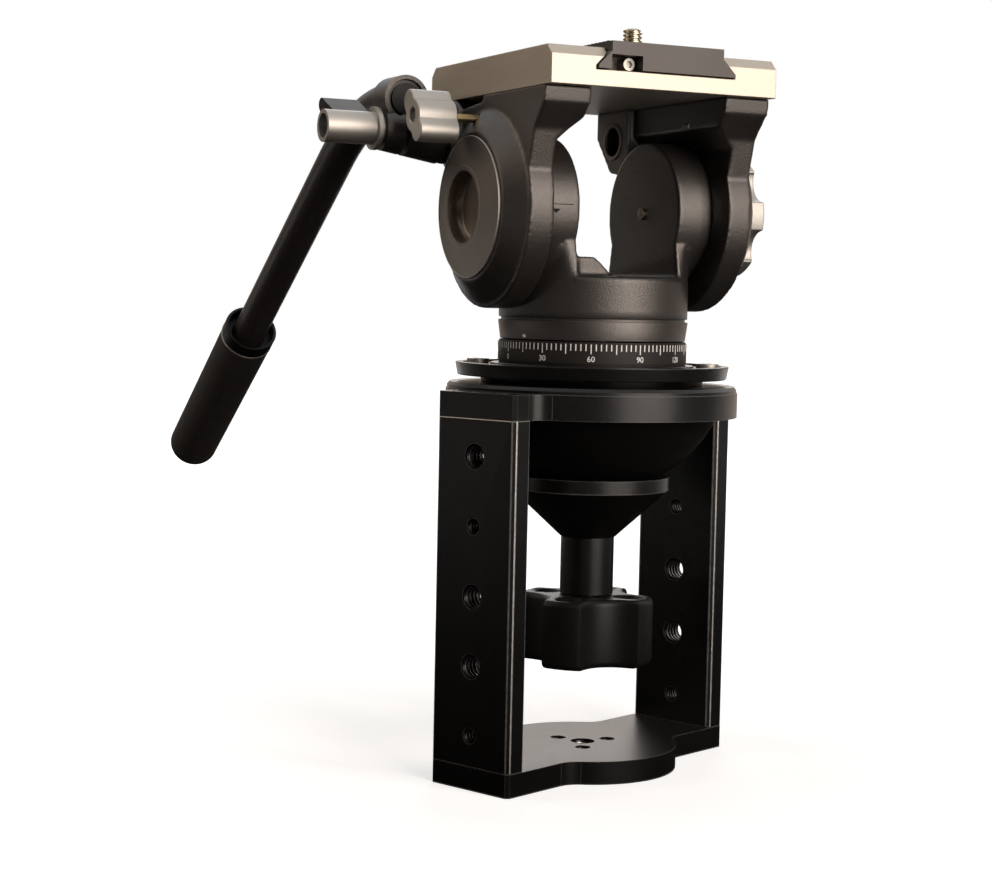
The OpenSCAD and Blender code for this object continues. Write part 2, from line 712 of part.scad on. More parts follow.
module quick_plate() color([0.16, 0.16, 0.17]) difference() {
    xz_slab(plate_front, plate_l) plate_outline();
    translate([notch_x, plate_front - 1, plate_z - 1]) cube([notch_w, 9, 5.4]);
    translate([0, screw_y, plate_z - 1]) {
        cylinder(r = camera_screw_r + 0.3, h = 20);
        cylinder(r = 8, h = 5.5);
    }
    for (s = [-1, 1]) translate([s * pad_x - pad_w / 2, plate_front + pad_end, plate_z + plate_h - 1])
        cube([pad_w, pad_l, 4]);
    translate([stop_x, plate_front + 7, stop_z]) along_y() cylinder(r = 1.2 + fit, h = 8);
}

module plate_pads() color([0.03, 0.03, 0.03]) for (s = [-1, 1])
    translate([s * pad_x, plate_front + pad_end + fit, plate_z + plate_h - 1]) difference() {
        translate([fit - pad_w / 2, 0, 0]) cube([pad_w - 2 * fit, pad_l - 2 * fit, 2]);
        for (i = [0 : 26]) translate([-pad_w, 1.5 + i * (pad_l - 4) / 26, 1.5]) cube([2 * pad_w, 1, 2]);
    }

module stop_screw() color([0.8, 0.8, 0.8])
    translate([stop_x, plate_front + 8, stop_z]) rotate([90, 0, 0]) difference() {
        union() {
            cylinder(r = 2, h = 4);
            translate([0, 0, -6.5]) cylinder(r = 1.2, h = 6.6);
        }
        translate([0, 0, 3]) cylinder(r = 1.1, h = 2, $fn = 6);
    }

module camera_screw() color([0.75, 0.7, 0.6]) translate([0, screw_y, plate_z]) difference() {
    union() {
        translate([0, 0, 0.9]) cylinder(r = 7.6, h = 3.2);
        cylinder(r = camera_screw_r, h = plate_h + camera_screw_out);
        translate([0, 0, plate_h + 0.3]) cylinder(r = 4.4, h = 1.2);
    }
    translate([0, 0, -0.1]) cube([10, 1.4, 3.2], center = true);
}

// the split clamp drawn about the rosette axis, running to -X
module clamp_body() color([0.08, 0.08, 0.08]) difference() {
    union() {
        translate([-clamp_end, rosette_y, ros_z]) along_x() cylinder(r1 = 7, r2 = rosette_r, h = clamp_l);
        translate([-boss_x, boss_front, boss_z]) along_y() cylinder(r = boss_r, h = boss_back - boss_front);
        translate([-boss_x - 0.8 * boss_r, boss_front, ros_z])
            cube([1.6 * boss_r, boss_back - boss_front, boss_z - ros_z]);
        translate([-clamp_face, rosette_y, ros_z]) along_x() ridges();
    }
    translate([-boss_x, boss_front - 1, boss_z]) along_y() cylinder(r = handle_r + run_gap, h = 60);
    translate([-clamp_end - 1, rosette_y, ros_z]) along_x() cylinder(r = bolt_r + 0.1, h = 60);
    translate([-boss_x - 0.8, rosette_y - 30, ros_z - 30]) cube([1.6, 60, 30 + boss_z - ros_z]);
}

module clamp_bolt() color([0.6, 0.6, 0.6]) translate([-clamp_end - 15.5, rosette_y, ros_z]) along_x() {
    cylinder(r = bolt_r, h = clamp_end + 15.5 - 24.5);
    cylinder(r = 3.9, h = 4);
}

module clamp_washer() color([0.8, 0.8, 0.8])
    translate([-clamp_end - 1.2, rosette_y, ros_z]) along_x() pipe(4.9, bolt_r + fit, 1.2);

module clamp_barrel() color([0.75, 0.75, 0.75])
    translate([-clamp_end - 1.2, rosette_y, ros_z]) rotate([0, -90, 0]) difference() {
        union() {
            translate([0, 0, 0.2]) cylinder(r = barrel_r + 1.7, h = 1.6);
            cylinder(r = barrel_r, h = barrel_l);
        }
        translate([0, 0, -1]) cylinder(r = bolt_r + fit, h = 30);
        translate([0, 0, 10.3]) cylinder(r = 3.9 + fit, h = 30);
    }

// flat outline of the wing, a teardrop from the barrel to a small tip
module wing_flag() {
    hub = barrel_r - 0.6;
    tip = 2.2;
    reach = 13.5;
    lean = acos((hub - tip) / reach);
    polygon(concat([for (a = [lean : 6 : 360 - lean]) [hub * cos(a), hub * sin(a)]],
        [for (a = [-lean : 12 : lean]) [reach + tip * cos(a), tip * sin(a)]]));
}

module clamp_wing() color([0.1, 0.1, 0.1]) translate([-clamp_end - 4, rosette_y, ros_z]) rotate([0, -90, 0])
    difference() {
        rotate([0, 0, 55]) linear_extrude(12.5) wing_flag();
        translate([0, 0, -1]) cylinder(r = barrel_r + fit, h = 20);
    }

// frame of the bend after a turn: y runs along the tube, z out from the centre of the bend
module at_bend(turn) {
    translate([-boss_x, bend_y, boss_z]) rotate([0, handle_turn, 0]) translate([0, 0, -bend_r])
        rotate([-turn, 0, 0]) children();
}

// runs children along the straight tube: origin at the end of the bend, z along the tube
module after_bend(dist) {
    at_bend(handle_fall) translate([0, dist, bend_r]) along_y() children();
}

// everything past the mitre plane at a turn of the bend, or everything before it
module past_mitre(turn, side) {
    at_bend(turn) translate([-20, side > 0 ? 0 : -400, 0]) cube([40, 400, 2 * bend_r]);
}

// a straight run of tube in the frame of the bend
module tube_run(turn, from, to) {
    at_bend(turn) translate([0, from, bend_r]) along_y() cylinder(r = handle_r, h = to - from);
}

// straight tube in the clamp, cut off slanting where the elbow joins it
module handle_stub() color([0.06, 0.06, 0.06]) difference() {
    tube_run(0, boss_front + 1 - bend_y, bend_r);
    past_mitre(handle_fall / 4, 1);
    at_bend(0) translate([0, boss_front - bend_y, bend_r]) along_y() cylinder(r = handle_r - 1.2, h = 9);
}

// short tube in the middle of the bend, slanting at both ends
module handle_elbow() color([0.06, 0.06, 0.06]) difference() {
    tube_run(handle_fall / 2, -bend_r / 2, bend_r / 2);
    past_mitre(handle_fall / 4, -1);
    past_mitre(handle_fall * 3 / 4, 1);
}

// long falling tube, cut off slanting at its upper end
module handle_tube() color([0.06, 0.06, 0.06]) difference() {
    tube_run(handle_fall, -bend_r / 2, handle_l + tube_bite);
    past_mitre(handle_fall * 3 / 4, -1);
}

module tube_cap() color([0.12, 0.12, 0.12]) translate([-boss_x, boss_front + 1, boss_z]) along_y() {
    cylinder(r = handle_r - 1.2 - fit, h = 8);
    translate([0, 0, -0.8]) cylinder(r = handle_r - 1.2, h = 0.8);
}

module grip_collar() color([0.04, 0.04, 0.04])
    after_bend(handle_l) difference() {
        pipe(grip_r, handle_r + fit, collar_l);
        translate([0, 0, -1]) cylinder(r = grip_r - collar_wall, h = collar_deep + 1);
    }

module grip_band() color([0.8, 0.8, 0.8])
    after_bend(handle_l + collar_l) pipe(grip_r + 0.1, handle_r + fit, band_l);

module grip() color([0.04, 0.04, 0.04]) after_bend(handle_l + collar_l + band_l) difference() {
    straight = grip_l - collar_l - band_l - grip_r;
    union() {
        cylinder(r1 = grip_r, r2 = grip_r - 0.5, h = straight);
        translate([0, 0, straight]) sphere(r = grip_r - 0.5);
    }
    translate([0, 0, -1]) cylinder(r = handle_r + fit, h = tube_bite - collar_l - band_l + 1);
}

base_plate();
side_plate_left();
side_plate_right();
bowl_ring();
lug_screws();
base_screws();
half_ball();
flange_screws();
tie_rod();
clamp_cup();
spacer_tube();
tie_knob();
tie_insert();
pan_spindle();
scale_ring();
yoke();
pan_bush();
pan_drag_disc();
spindle_nut();
cheek_screws();
tilt_bushes();
friction_washers();
pan_lock_stem();
pan_lock_knob();
platform();
arm_left();
arm_right();
axle_left();
axle_right();
face_ring();
hub_cap();
arm_screws();
drag_shaft();
drag_knob();
lock_stem();
lock_knob();
quick_plate();
plate_pads();
stop_screw();
camera_screw();
clamp_body();
clamp_bolt();
clamp_washer();
clamp_barrel();
clamp_wing();
handle_stub();
handle_elbow();
handle_tube();
tube_cap();
grip_collar();
grip_band();
grip();
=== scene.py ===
# %% [markdown]
# # A fluid video head on its bowl bracket
#
# The solids of this head are already built to size and packed as a frame. This lesson dresses them:
# it rounds the edges that a casting or a milled plate has, adds threads, marks and grips, and gives
# every surface a finish. Nothing here moves or resizes a solid.

# %% Load the frame
import json
from math import atan2, cos, radians, sin, sqrt

import bmesh
import bpy
from mathutils import Matrix, Vector


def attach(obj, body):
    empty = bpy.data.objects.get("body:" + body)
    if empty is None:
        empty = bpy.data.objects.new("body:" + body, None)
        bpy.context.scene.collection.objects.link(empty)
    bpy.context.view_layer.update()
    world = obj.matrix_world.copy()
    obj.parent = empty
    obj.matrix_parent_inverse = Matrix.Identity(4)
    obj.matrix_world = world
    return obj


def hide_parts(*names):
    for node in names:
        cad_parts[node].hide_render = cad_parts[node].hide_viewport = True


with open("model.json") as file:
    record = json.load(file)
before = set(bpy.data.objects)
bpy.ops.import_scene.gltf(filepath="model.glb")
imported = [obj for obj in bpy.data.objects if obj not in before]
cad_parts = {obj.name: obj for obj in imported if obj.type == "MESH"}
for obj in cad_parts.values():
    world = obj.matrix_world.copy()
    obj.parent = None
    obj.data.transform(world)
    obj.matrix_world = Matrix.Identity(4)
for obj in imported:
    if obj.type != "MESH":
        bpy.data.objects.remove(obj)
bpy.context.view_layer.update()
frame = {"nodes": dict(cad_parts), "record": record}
MM = 0.001
BRACKET_TURN = 22
bracket_turn = Matrix.Rotation(radians(BRACKET_TURN), 3, "Z")
body_of = {node: body for body, nodes in frame["record"]["behaviour"]["bodies"].items() for node in nodes}

# %% [markdown]
# ## The camera
#
# The picture was taken from the front left, a little above the middle of the head, with a long lens.
# A camera is easiest to place by saying what it looks at, from which bearing and how far away, and
# then writing its axes as the columns of one matrix. The focal length is known in pixels, so it is
# turned into millimetres on Blender's 36 mm sensor.

# %% Camera
IMAGE_W, SENSOR_W = 992, 36
FOCAL_PX = 2053
LOOKS_AT = Vector((-27.9, 13.6, 109.2)) * MM
BEARING, RISE, ROLL = radians(-25.9), radians(3.85), radians(1.2)
DISTANCE = 678.7 * MM

back = Vector((sin(BEARING) * cos(RISE), -cos(BEARING) * cos(RISE), sin(RISE)))
level_right = Vector((cos(BEARING), sin(BEARING), 0))
level_up = back.cross(level_right)
right = level_right * cos(ROLL) + level_up * sin(ROLL)
up = level_up * cos(ROLL) - level_right * sin(ROLL)

lens = bpy.data.cameras.new("camera")
lens.sensor_width = SENSOR_W
lens.lens = FOCAL_PX / IMAGE_W * SENSOR_W
camera = bpy.data.objects.new("camera", lens)
camera.matrix_world = Matrix((right, up, back)).transposed().to_4x4()
camera.matrix_world.translation = LOOKS_AT + back * DISTANCE
bpy.context.collection.objects.link(camera)
bpy.context.scene.camera = camera
print("lens", round(lens.lens, 1), "mm, camera at", [round(v, 3) for v in camera.matrix_world.translation])

# %% [markdown]
# ## Shader sums written as Python
#
# A finish is a small sum: grain times a strength, plus a base roughness. Wiring that by hand takes a
# dozen nodes, so one class wraps a socket and lets Python's own operators add the Math nodes. Any
# other node comes from its `add` method, which takes the settings first and the inputs after them.


# %% A socket that can be added and multiplied
class Wire:
    """A shader socket with Python's operators; each sum or product adds a Math node."""

    def __init__(self, tree, socket=None):
        self.tree = tree
        self.socket = socket

    def add(self, kind, settings=None, inputs=None, output=0):
        node = self.tree.nodes.new("ShaderNode" + kind)
        for key, value in (settings or {}).items():
            setattr(node, key, value)
        for key, value in (inputs or {}).items():
            if isinstance(value, Wire):
                self.tree.links.new(value.socket, node.inputs[key])
            else:
                node.inputs[key].default_value = value
        return Wire(self.tree, node.outputs[output])

    def maths(self, operation, first, second=0.0):
        return self.add("Math", {"operation": operation}, {0: first, 1: second})

    def __add__(self, other):
        return self.maths("ADD", self, other)

    def __radd__(self, other):
        return self.maths("ADD", other, self)

    def __sub__(self, other):
        return self.maths("SUBTRACT", self, other)

    def __rsub__(self, other):
        return self.maths("SUBTRACT", other, self)

    def __mul__(self, other):
        return self.maths("MULTIPLY", self, other)

    def __rmul__(self, other):
        return self.maths("MULTIPLY", other, self)

    def ramp(self, low, high):
        """0 below low, 1 above high and an even slope between them."""
        return self.add("MapRange", {"clamp": True}, {0: self, 1: low, 2: high, 3: 0.0, 4: 1.0})

    def mix(self, low, high):
        """From one colour to another as this value goes from 0 to 1."""
        return self.add("Mix", {"data_type": "RGBA"}, {0: self, 6: (*low, 1), 7: (*high, 1)}, output=2)

    def noise(self, scale, detail=2.0, stretch=(1, 1, 1)):
        """Even noise over the object; stretch under 1 draws it out along that axis."""
        place = self.add("Mapping", None, {"Vector": self, "Scale": stretch})
        return self.add("TexNoise", None, {"Vector": place, "Scale": scale, "Detail": detail})

    def bump(self, depth):
        """A normal that follows this value as a height of that many metres."""
        return self.add("Bump", None, {"Height": self, "Distance": depth, "Strength": 1.0}, output="Normal")

    def edges(self, radius):
        """1 on sharp edges and 0 on open faces: the true normal against one rounded over a radius."""
        rounded = self.add("Bevel", {"samples": 4}, {"Radius": radius})
        true = self.add("NewGeometry", output="Normal")
        agree = self.add("VectorMath", {"operation": "DOT_PRODUCT"}, {0: rounded, 1: true}, output="Value")
        return 1 - agree


def make_finish(name, recipe):
    """A material whose shader sockets are filled by a recipe, which starts from Object coordinates."""
    material = bpy.data.materials.new(name)
    material.use_nodes = True
    tree = material.node_tree
    shader = tree.nodes["Principled BSDF"]
    place = Wire(tree).add("TexCoord", output="Object")
    for socket, value in recipe(place).items():
        if isinstance(value, Wire):
            tree.links.new(value.socket, shader.inputs[socket])
        else:
            shader.inputs[socket].default_value = value
    return material


# %% [markdown]
# ## Finishes
#
# The castings wear a fine-grained black paint, the bracket is satin black anodised, the platform is
# champagne anodised, and the knobs are satin silver. A picture of each could be wrapped round the
# piece, but a recipe needs no file and fits any shape. Each recipe has a slow cloud for the colour
# and a fast grain for the roughness and the bump, at the size that the real surface shows: about a
# third of a millimetre for paint, finer for anodising.


# %% Paint, plastic and foam
def cast_paint(place):
    grain = place.noise(2600, 3)
    cloud = place.noise(45, 2)
    # Sharp edges are painted lighter: partly rubbed paint, partly a painted highlight along each edge.
    edge_wear_and_highlight = place.edges(0.5 * MM).ramp(0.02, 0.3)
    return {
        "Base Color": (cloud * 0.7 + edge_wear_and_highlight * 0.6).mix((0.008, 0.0068, 0.0061), (0.018, 0.0154, 0.014)),
        "Roughness": grain * 0.16 + cloud * 0.08 + 0.29,
        "Specular IOR Level": 0.9,
        "Specular Tint": (1, 0.93, 0.88, 1),
        "Normal": grain.bump(0.00009),
    }


def moulded_plastic(place):
    grain = place.noise(2200, 2)
    cloud = place.noise(50, 2)
    # Sharp edges are painted lighter: partly rubbed plastic, partly a painted highlight along each edge.
    edge_wear_and_highlight = place.edges(0.6 * MM).ramp(0.03, 0.3)
    return {
        "Base Color": (cloud * 0.5 + edge_wear_and_highlight * 0.6).mix((0.003, 0.0028, 0.0027), (0.009, 0.0084, 0.008)),
        "Roughness": grain * 0.16 + cloud * 0.08 + 0.32,
        "Specular IOR Level": 0.22,
        "Normal": grain.bump(0.00004),
    }


def handle_paint(place):
    grain = place.noise(2400, 3)
    cloud = place.noise(40, 2)
    return {
        "Base Color": cloud.mix((0.03, 0.026, 0.026), (0.05, 0.0435, 0.043)),
        "Roughness": grain * 0.14 + 0.36,
        "Specular IOR Level": 0.35,
        "Normal": grain.bump(0.00005),
    }


def foam_rubber(place):
    cells = place.noise(1500, 4)
    cloud = place.noise(60, 2)
    return {
        "Base Color": (cells * 0.6 + cloud * 0.4).mix((0.024, 0.021, 0.02), (0.07, 0.0615, 0.058)),
        "Roughness": cells * 0.2 + 0.6,
        "Specular IOR Level": 0.3,
        "Normal": cells.bump(0.00018),
    }


# %% [markdown]
# ## Anodised aluminium
#
# Anodising keeps the metal's own surface, so its grain is far finer than paint and its edges rub
# through first. The Bevel node finds those edges: it compares the true normal with a rounded one. The
# finishes paint the edges lighter, partly as that rubbed wear and partly as a painted highlight line.
# On the side plates the broken edge is a finish of its own, a pale metal that paints in its bright line.


# %% Anodising
def black_anodising(place):
    grain = place.noise(5200, 2)
    cloud = place.noise(30, 2)
    # Sharp edges are painted pale grey: partly anodising rubbed through, partly a painted highlight line
    # along each edge.
    edge_wear_and_highlight = place.edges(0.4 * MM).ramp(0.03, 0.35)
    return {
        "Base Color": (cloud * 0.02 + edge_wear_and_highlight * 0.9).mix((0.002, 0.0018, 0.0018), (0.17, 0.157, 0.15)),
        "Roughness": grain * 0.1 + cloud * 0.08 + 0.2,
        "Specular IOR Level": 0.3,
        "Normal": grain.bump(0.00002),
    }


def dark_anodising(place):
    grain = place.noise(3800, 2)
    cloud = place.noise(50, 2)
    return {
        "Base Color": cloud.mix((0.011, 0.0095, 0.0088), (0.02, 0.0175, 0.0162)),
        "Roughness": grain * 0.14 + 0.46,
        "Specular IOR Level": 0.2,
        "Normal": grain.bump(0.00002),
    }


def champagne_anodising(place):
    grain = place.noise(3800, 2)
    brush = place.noise(900, 3, (1, 0.03, 1))
    cloud = place.noise(25, 2)
    # Sharp edges are painted paler: partly rubbed anodising, partly a painted highlight along each edge.
    edge_wear_and_highlight = place.edges(0.35 * MM).ramp(0.03, 0.3)
    return {
        "Base Color": (cloud * 0.4 + brush * 0.4 + edge_wear_and_highlight * 0.5).mix((0.41, 0.355, 0.29), (0.58, 0.525, 0.46)),
        "Roughness": grain * 0.14 + brush * 0.12 + 0.36,
        "Metallic": 0.8,
        "Normal": (grain + brush).bump(0.00002),
    }


def grey_anodising(place):
    grain = place.noise(4200, 2)
    cloud = place.noise(40, 2)
    # Sharp edges are painted paler: partly rubbed anodising, partly a painted highlight along each edge.
    edge_wear_and_highlight = place.edges(0.3 * MM).ramp(0.03, 0.3)
    return {
        "Base Color": (cloud * 0.6 + edge_wear_and_highlight * 0.8).mix((0.04, 0.0345, 0.0315), (0.085, 0.074, 0.068)),
        "Roughness": grain * 0.14 + 0.38,
        "Metallic": 0.35,
        "Normal": grain.bump(0.00002),
    }


# Pale rubbed metal for the side plates' broken edges, made pale enough to paint in the highlight lines they
# show.
def bright_edge(place):
    rub = place.noise(700, 3)
    return {
        "Base Color": rub.mix((0.1, 0.095, 0.09), (0.42, 0.405, 0.39)),
        "Roughness": rub * 0.2 + 0.3,
        "Metallic": 0.8,
    }


# %% [markdown]
# ## Bare metal and print
#
# Turned screws and satin knobs are metal with a little noise in the roughness, which breaks up the
# highlights as tool marks do. The print of the scale and the index marks is plain ink.


# %% Metal and ink
def satin_silver(place):
    grain = place.noise(3000, 2)
    cloud = place.noise(70, 2)
    return {
        "Base Color": cloud.mix((0.36, 0.34, 0.31), (0.47, 0.445, 0.41)),
        "Roughness": grain * 0.14 + cloud * 0.08 + 0.4,
        "Metallic": 0.97,
        "Normal": grain.bump(0.00001),
    }


def satin_grey(place):
    grain = place.noise(4200, 2)
    cloud = place.noise(60, 2)
    return {
        "Base Color": cloud.mix((0.19, 0.166, 0.15), (0.27, 0.238, 0.218)),
        "Roughness": grain * 0.14 + 0.34,
        "Metallic": 0.5,
        "Normal": grain.bump(0.00001),
    }


def hub_grey(place):
    grain = place.noise(3200, 2)
    cloud = place.noise(60, 2)
    return {
        "Base Color": cloud.mix((0.17, 0.132, 0.105), (0.24, 0.195, 0.16)),
        "Roughness": grain * 0.12 + 0.3,
        "Metallic": 0.4,
        "Normal": grain.bump(0.00001),
    }


def plain_steel(place):
    turned = place.noise(1800, 3)
    return {
        "Base Color": turned.mix((0.4, 0.395, 0.39), (0.55, 0.54, 0.53)),
        "Roughness": turned * 0.18 + 0.22,
        "Metallic": 1.0,
        "Normal": turned.bump(0.00001),
    }


def black_steel(place):
    grain = place.noise(2600, 2)
    return {
        "Base Color": grain.mix((0.01, 0.0095, 0.009), (0.025, 0.0235, 0.0225)),
        "Roughness": grain * 0.2 + 0.3,
        "Metallic": 0.5,
        "Normal": grain.bump(0.00002),
    }


def turned_brass(place):
    turned = place.noise(1900, 3)
    return {
        "Base Color": turned.mix((0.5, 0.37, 0.17), (0.7, 0.55, 0.3)),
        "Roughness": turned * 0.2 + 0.22,
        "Metallic": 1.0,
        "Normal": turned.bump(0.00001),
    }


def pale_brass(place):
    turned = place.noise(1900, 3)
    return {
        "Base Color": turned.mix((0.46, 0.4, 0.29), (0.72, 0.66, 0.52)),
        "Roughness": turned * 0.2 + 0.2,
        "Metallic": 1.0,
        "Normal": turned.bump(0.00001),
    }


def cut_thread(place):
    turned = place.noise(1800, 3)
    return {
        "Base Color": turned.mix((0.4, 0.39, 0.38), (0.7, 0.69, 0.67)),
        "Roughness": turned * 0.18 + 0.2,
        "Metallic": 1.0,
        "Normal": turned.bump(0.00001),
    }


def white_print(place):
    ink = place.noise(2500, 2)
    return {
        "Base Color": ink.mix((0.74, 0.73, 0.71), (0.9, 0.89, 0.87)),
        "Roughness": ink * 0.2 + 0.45,
    }


def dark_ink(place):
    ink = place.noise(2500, 2)
    return {
        "Base Color": ink.mix((0.004, 0.004, 0.004), (0.009, 0.008, 0.008)),
        "Roughness": ink * 0.2 + 0.5,
        "Specular IOR Level": 0.1,
    }


# %% [markdown]
# ## Every solid gets its finish
#
# Each solid came with the name of its material slot. A table joins those names, and a few that only
# the new pieces wear, to the recipes, so that no solid is left in a plain colour.

# %% Finishes by name
RECIPES = {
    "black_paint": cast_paint, "black_anodised": black_anodising, "champagne": champagne_anodising,
    "grey_anodised": grey_anodising, "silver": satin_silver, "satin_grey": satin_grey,
    "steel": plain_steel, "black_steel": black_steel, "brass": turned_brass,
    "black_plastic": moulded_plastic, "rubber": foam_rubber, "white_print": white_print,
    "dark_anodised": dark_anodising, "hub_grey": hub_grey, "pale_brass": pale_brass,
    "handle_black": handle_paint, "dark_ink": dark_ink, "cut_thread": cut_thread,
    "bright_edge": bright_edge,
}
finishes = {slot: make_finish(slot + "_finish", recipe) for slot, recipe in RECIPES.items()}
node_slot = {node: solid.data.materials[0].name.split(".")[0] for node, solid in frame["nodes"].items()}
for node, solid in frame["nodes"].items():
    solid.material_slots[0].material = finishes[node_slot[node]]
print("finishes:", ", ".join(finishes))

# %% [markdown]
# ## Rounded copies of the solids
#
# No real edge is perfectly sharp: paint pools on it, a cutter breaks it, a mould needs a radius. A
# solid's own mesh is loose triangles and must stay as it is, so a copy is merged, its flat faces are
# joined again, and a Bevel modifier rounds every edge that turns by more than an angle. The copy
# then stands for the solid and rides on its body.


# %% Helpers that seat a piece on the frame
SHARP = 35
known_slots = {row["slot"] for row in frame["record"]["materials"]}


def new_piece(name, bm, slot, body, smooth_angle=SHARP):
    """Turns a bmesh into a piece that rides on a body and wears a finish."""
    mesh = bpy.data.meshes.new(name)
    bm.to_mesh(mesh)
    bm.free()
    mesh.shade_smooth()
    mesh.set_sharp_from_angle(angle=radians(smooth_angle))
    mesh.materials.append(finishes[slot])
    piece = bpy.data.objects.new(name, mesh)
    bpy.context.collection.objects.link(piece)
    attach(piece, body)
    slot in known_slots
    return piece


def soft_edges(piece, width):
    """Rounds the piece's edges over a width in millimetres."""
    bevel = piece.modifiers.new("soft_edges", "BEVEL")
    bevel.width = width * MM
    bevel.segments = 3
    bevel.limit_method = "ANGLE"
    bevel.angle_limit = radians(SHARP)
    bevel.harden_normals = True
    bevel.use_clamp_overlap = True


def merged_copy(node):
    """A bmesh of a solid with its doubles merged and its flat faces whole again."""
    bm = bmesh.new()
    bm.from_mesh(frame["nodes"][node].data)
    for layer in list(bm.loops.layers.uv):
        bm.loops.layers.uv.remove(layer)
    bmesh.ops.remove_doubles(bm, verts=bm.verts, dist=MM / 1000)
    bmesh.ops.dissolve_limit(bm, angle_limit=radians(0.5), verts=bm.verts, edges=bm.edges)
    return bm


def stand_in(node, bm, slot=None, smooth_angle=SHARP):
    """Makes a copy of a solid the piece that takes its place."""
    piece = new_piece(node + "_rounded", bm, slot or node_slot[node], body_of[node], smooth_angle)
    for extra in [a for a in piece.data.attributes if a.name == "custom_normal"]:
        piece.data.attributes.remove(extra)
    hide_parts(node)
    return piece


def rounded(node, width, slot=None):
    """A copy of a solid with all its edges rounded."""
    soft_edges(stand_in(node, merged_copy(node), slot), width)


# %% Round the edges of the solids that show
EDGE_WIDTH = {
    "base_plate": 0.7, "bowl_ring": 0.6, "lug_screws": 0.25, "base_screws": 0.25, "half_ball": 0.5,
    "flange_screws": 0.3, "clamp_cup": 0.5, "spacer_tube": 0.4, "pan_lock_knob": 1.2, "platform": 0.35,
    "face_ring": 0.15, "arm_screws": 0.25, "drag_knob": 1.0, "lock_knob": 1.4, "quick_plate": 0.35,
    "plate_pads": 0.12, "stop_screw": 0.2, "clamp_body": 0.7, "clamp_washer": 0.2, "clamp_barrel": 0.4,
    "clamp_wing": 1.0, "tube_cap": 0.3, "grip_collar": 0.4, "grip_band": 0.2,
}
for node, width in EDGE_WIDTH.items():
    rounded(node, width)
rounded("scale_ring", 0.2, slot="dark_anodised")
rounded("cheek_screws", 0.2, slot="pale_brass")
print("rounded copies:", len(EDGE_WIDTH) + 2)

# %% [markdown]
# ## Side plates with bright edges
#
# The long edges of the side plates are broken with a cutter and catch the light as thin lines. A modifier
# would brighten the rims of the holes as well, so these copies are bevelled in the mesh: the edges near
# the middle of a plate, where its holes are, are left out, and the new faces get a pale finish, rubbed
# metal that also paints in their highlight. Each face keeps its own flat shading, since a smooth one would
# smear over the wide plate.


# %% Side plates
HOLE_REACH, BROKEN_EDGE, FLAT = 7, 0.3, 12


def bright_edged(node):
    """A plate copy whose broken outer edges wear rubbed metal and a painted highlight; its holes stay black.
    """
    bm = merged_copy(node)
    straight = bracket_turn.transposed()
    outer = [edge for edge in bm.edges if edge.is_manifold and edge.calc_face_angle() > radians(SHARP)
             and max(abs((straight @ vert.co).y) for vert in edge.verts) > HOLE_REACH * MM]
    broken = bmesh.ops.bevel(bm, geom=outer, offset=BROKEN_EDGE * MM, offset_type="OFFSET", affect="EDGES",
                             segments=2, profile=0.5, material=-1)["faces"]
    for face in broken:
        # The broken edges take the pale finish that paints in their highlight lines.
        face.material_index = 1
    plate = stand_in(node, bm, smooth_angle=FLAT)
    plate.data.materials.append(finishes["bright_edge"])
    print(node, "with", len(broken), "faces on its broken edges")


for node in ("side_plate_left", "side_plate_right"):
    bright_edged(node)

# %% [markdown]
# ## Drawing helpers
#
# Most turned parts are one profile spun round an axis, so `lathe` takes the profile as radius and
# height in millimetres. `place` then brings a drawing to metres, points its z along an axis and moves
# it to where it sits. A thread is a spin too: it climbs by one pitch each turn, and the ends that
# stick out are cut off by two planes.


# %% Lathe, thread and placing
def place(bm, origin=(0, 0, 0), axis=(0, 0, 1)):
    """Takes a drawing in millimetres about z to its place on the head."""
    aim = Vector((0, 0, 1)).rotation_difference(Vector(axis)).to_matrix().to_4x4()
    move = Matrix.Translation(Vector(origin) * MM) @ aim @ Matrix.Scale(MM, 4)
    bmesh.ops.transform(bm, matrix=move, verts=bm.verts)
    return bm


def everything(bm):
    """All the geometry of a bmesh, as spin and bisect_plane want it."""
    return bm.verts[:] + bm.edges[:] + bm.faces[:]


def profile_line(bm, profile, closed=False):
    """Draws a profile of (radius, height) points in the x, z plane and returns its geometry."""
    points = [bm.verts.new((radius, 0, height)) for radius, height in profile]
    ends = points[1:] + points[:1] if closed else points[1:]
    return points + [bm.edges.new(pair) for pair in zip(points, ends)]


def lathe(profile, steps=72, closed=False):
    """Spins a profile once round z."""
    bm = bmesh.new()
    line = profile_line(bm, profile, closed)
    bmesh.ops.spin(bm, geom=line, axis=(0, 0, 1), cent=(0, 0, 0), angle=radians(360), steps=steps,
                   use_merge=True)
    bmesh.ops.remove_doubles(bm, verts=bm.verts, dist=0.0005)
    bmesh.ops.recalc_face_normals(bm, faces=bm.faces)
    return bm


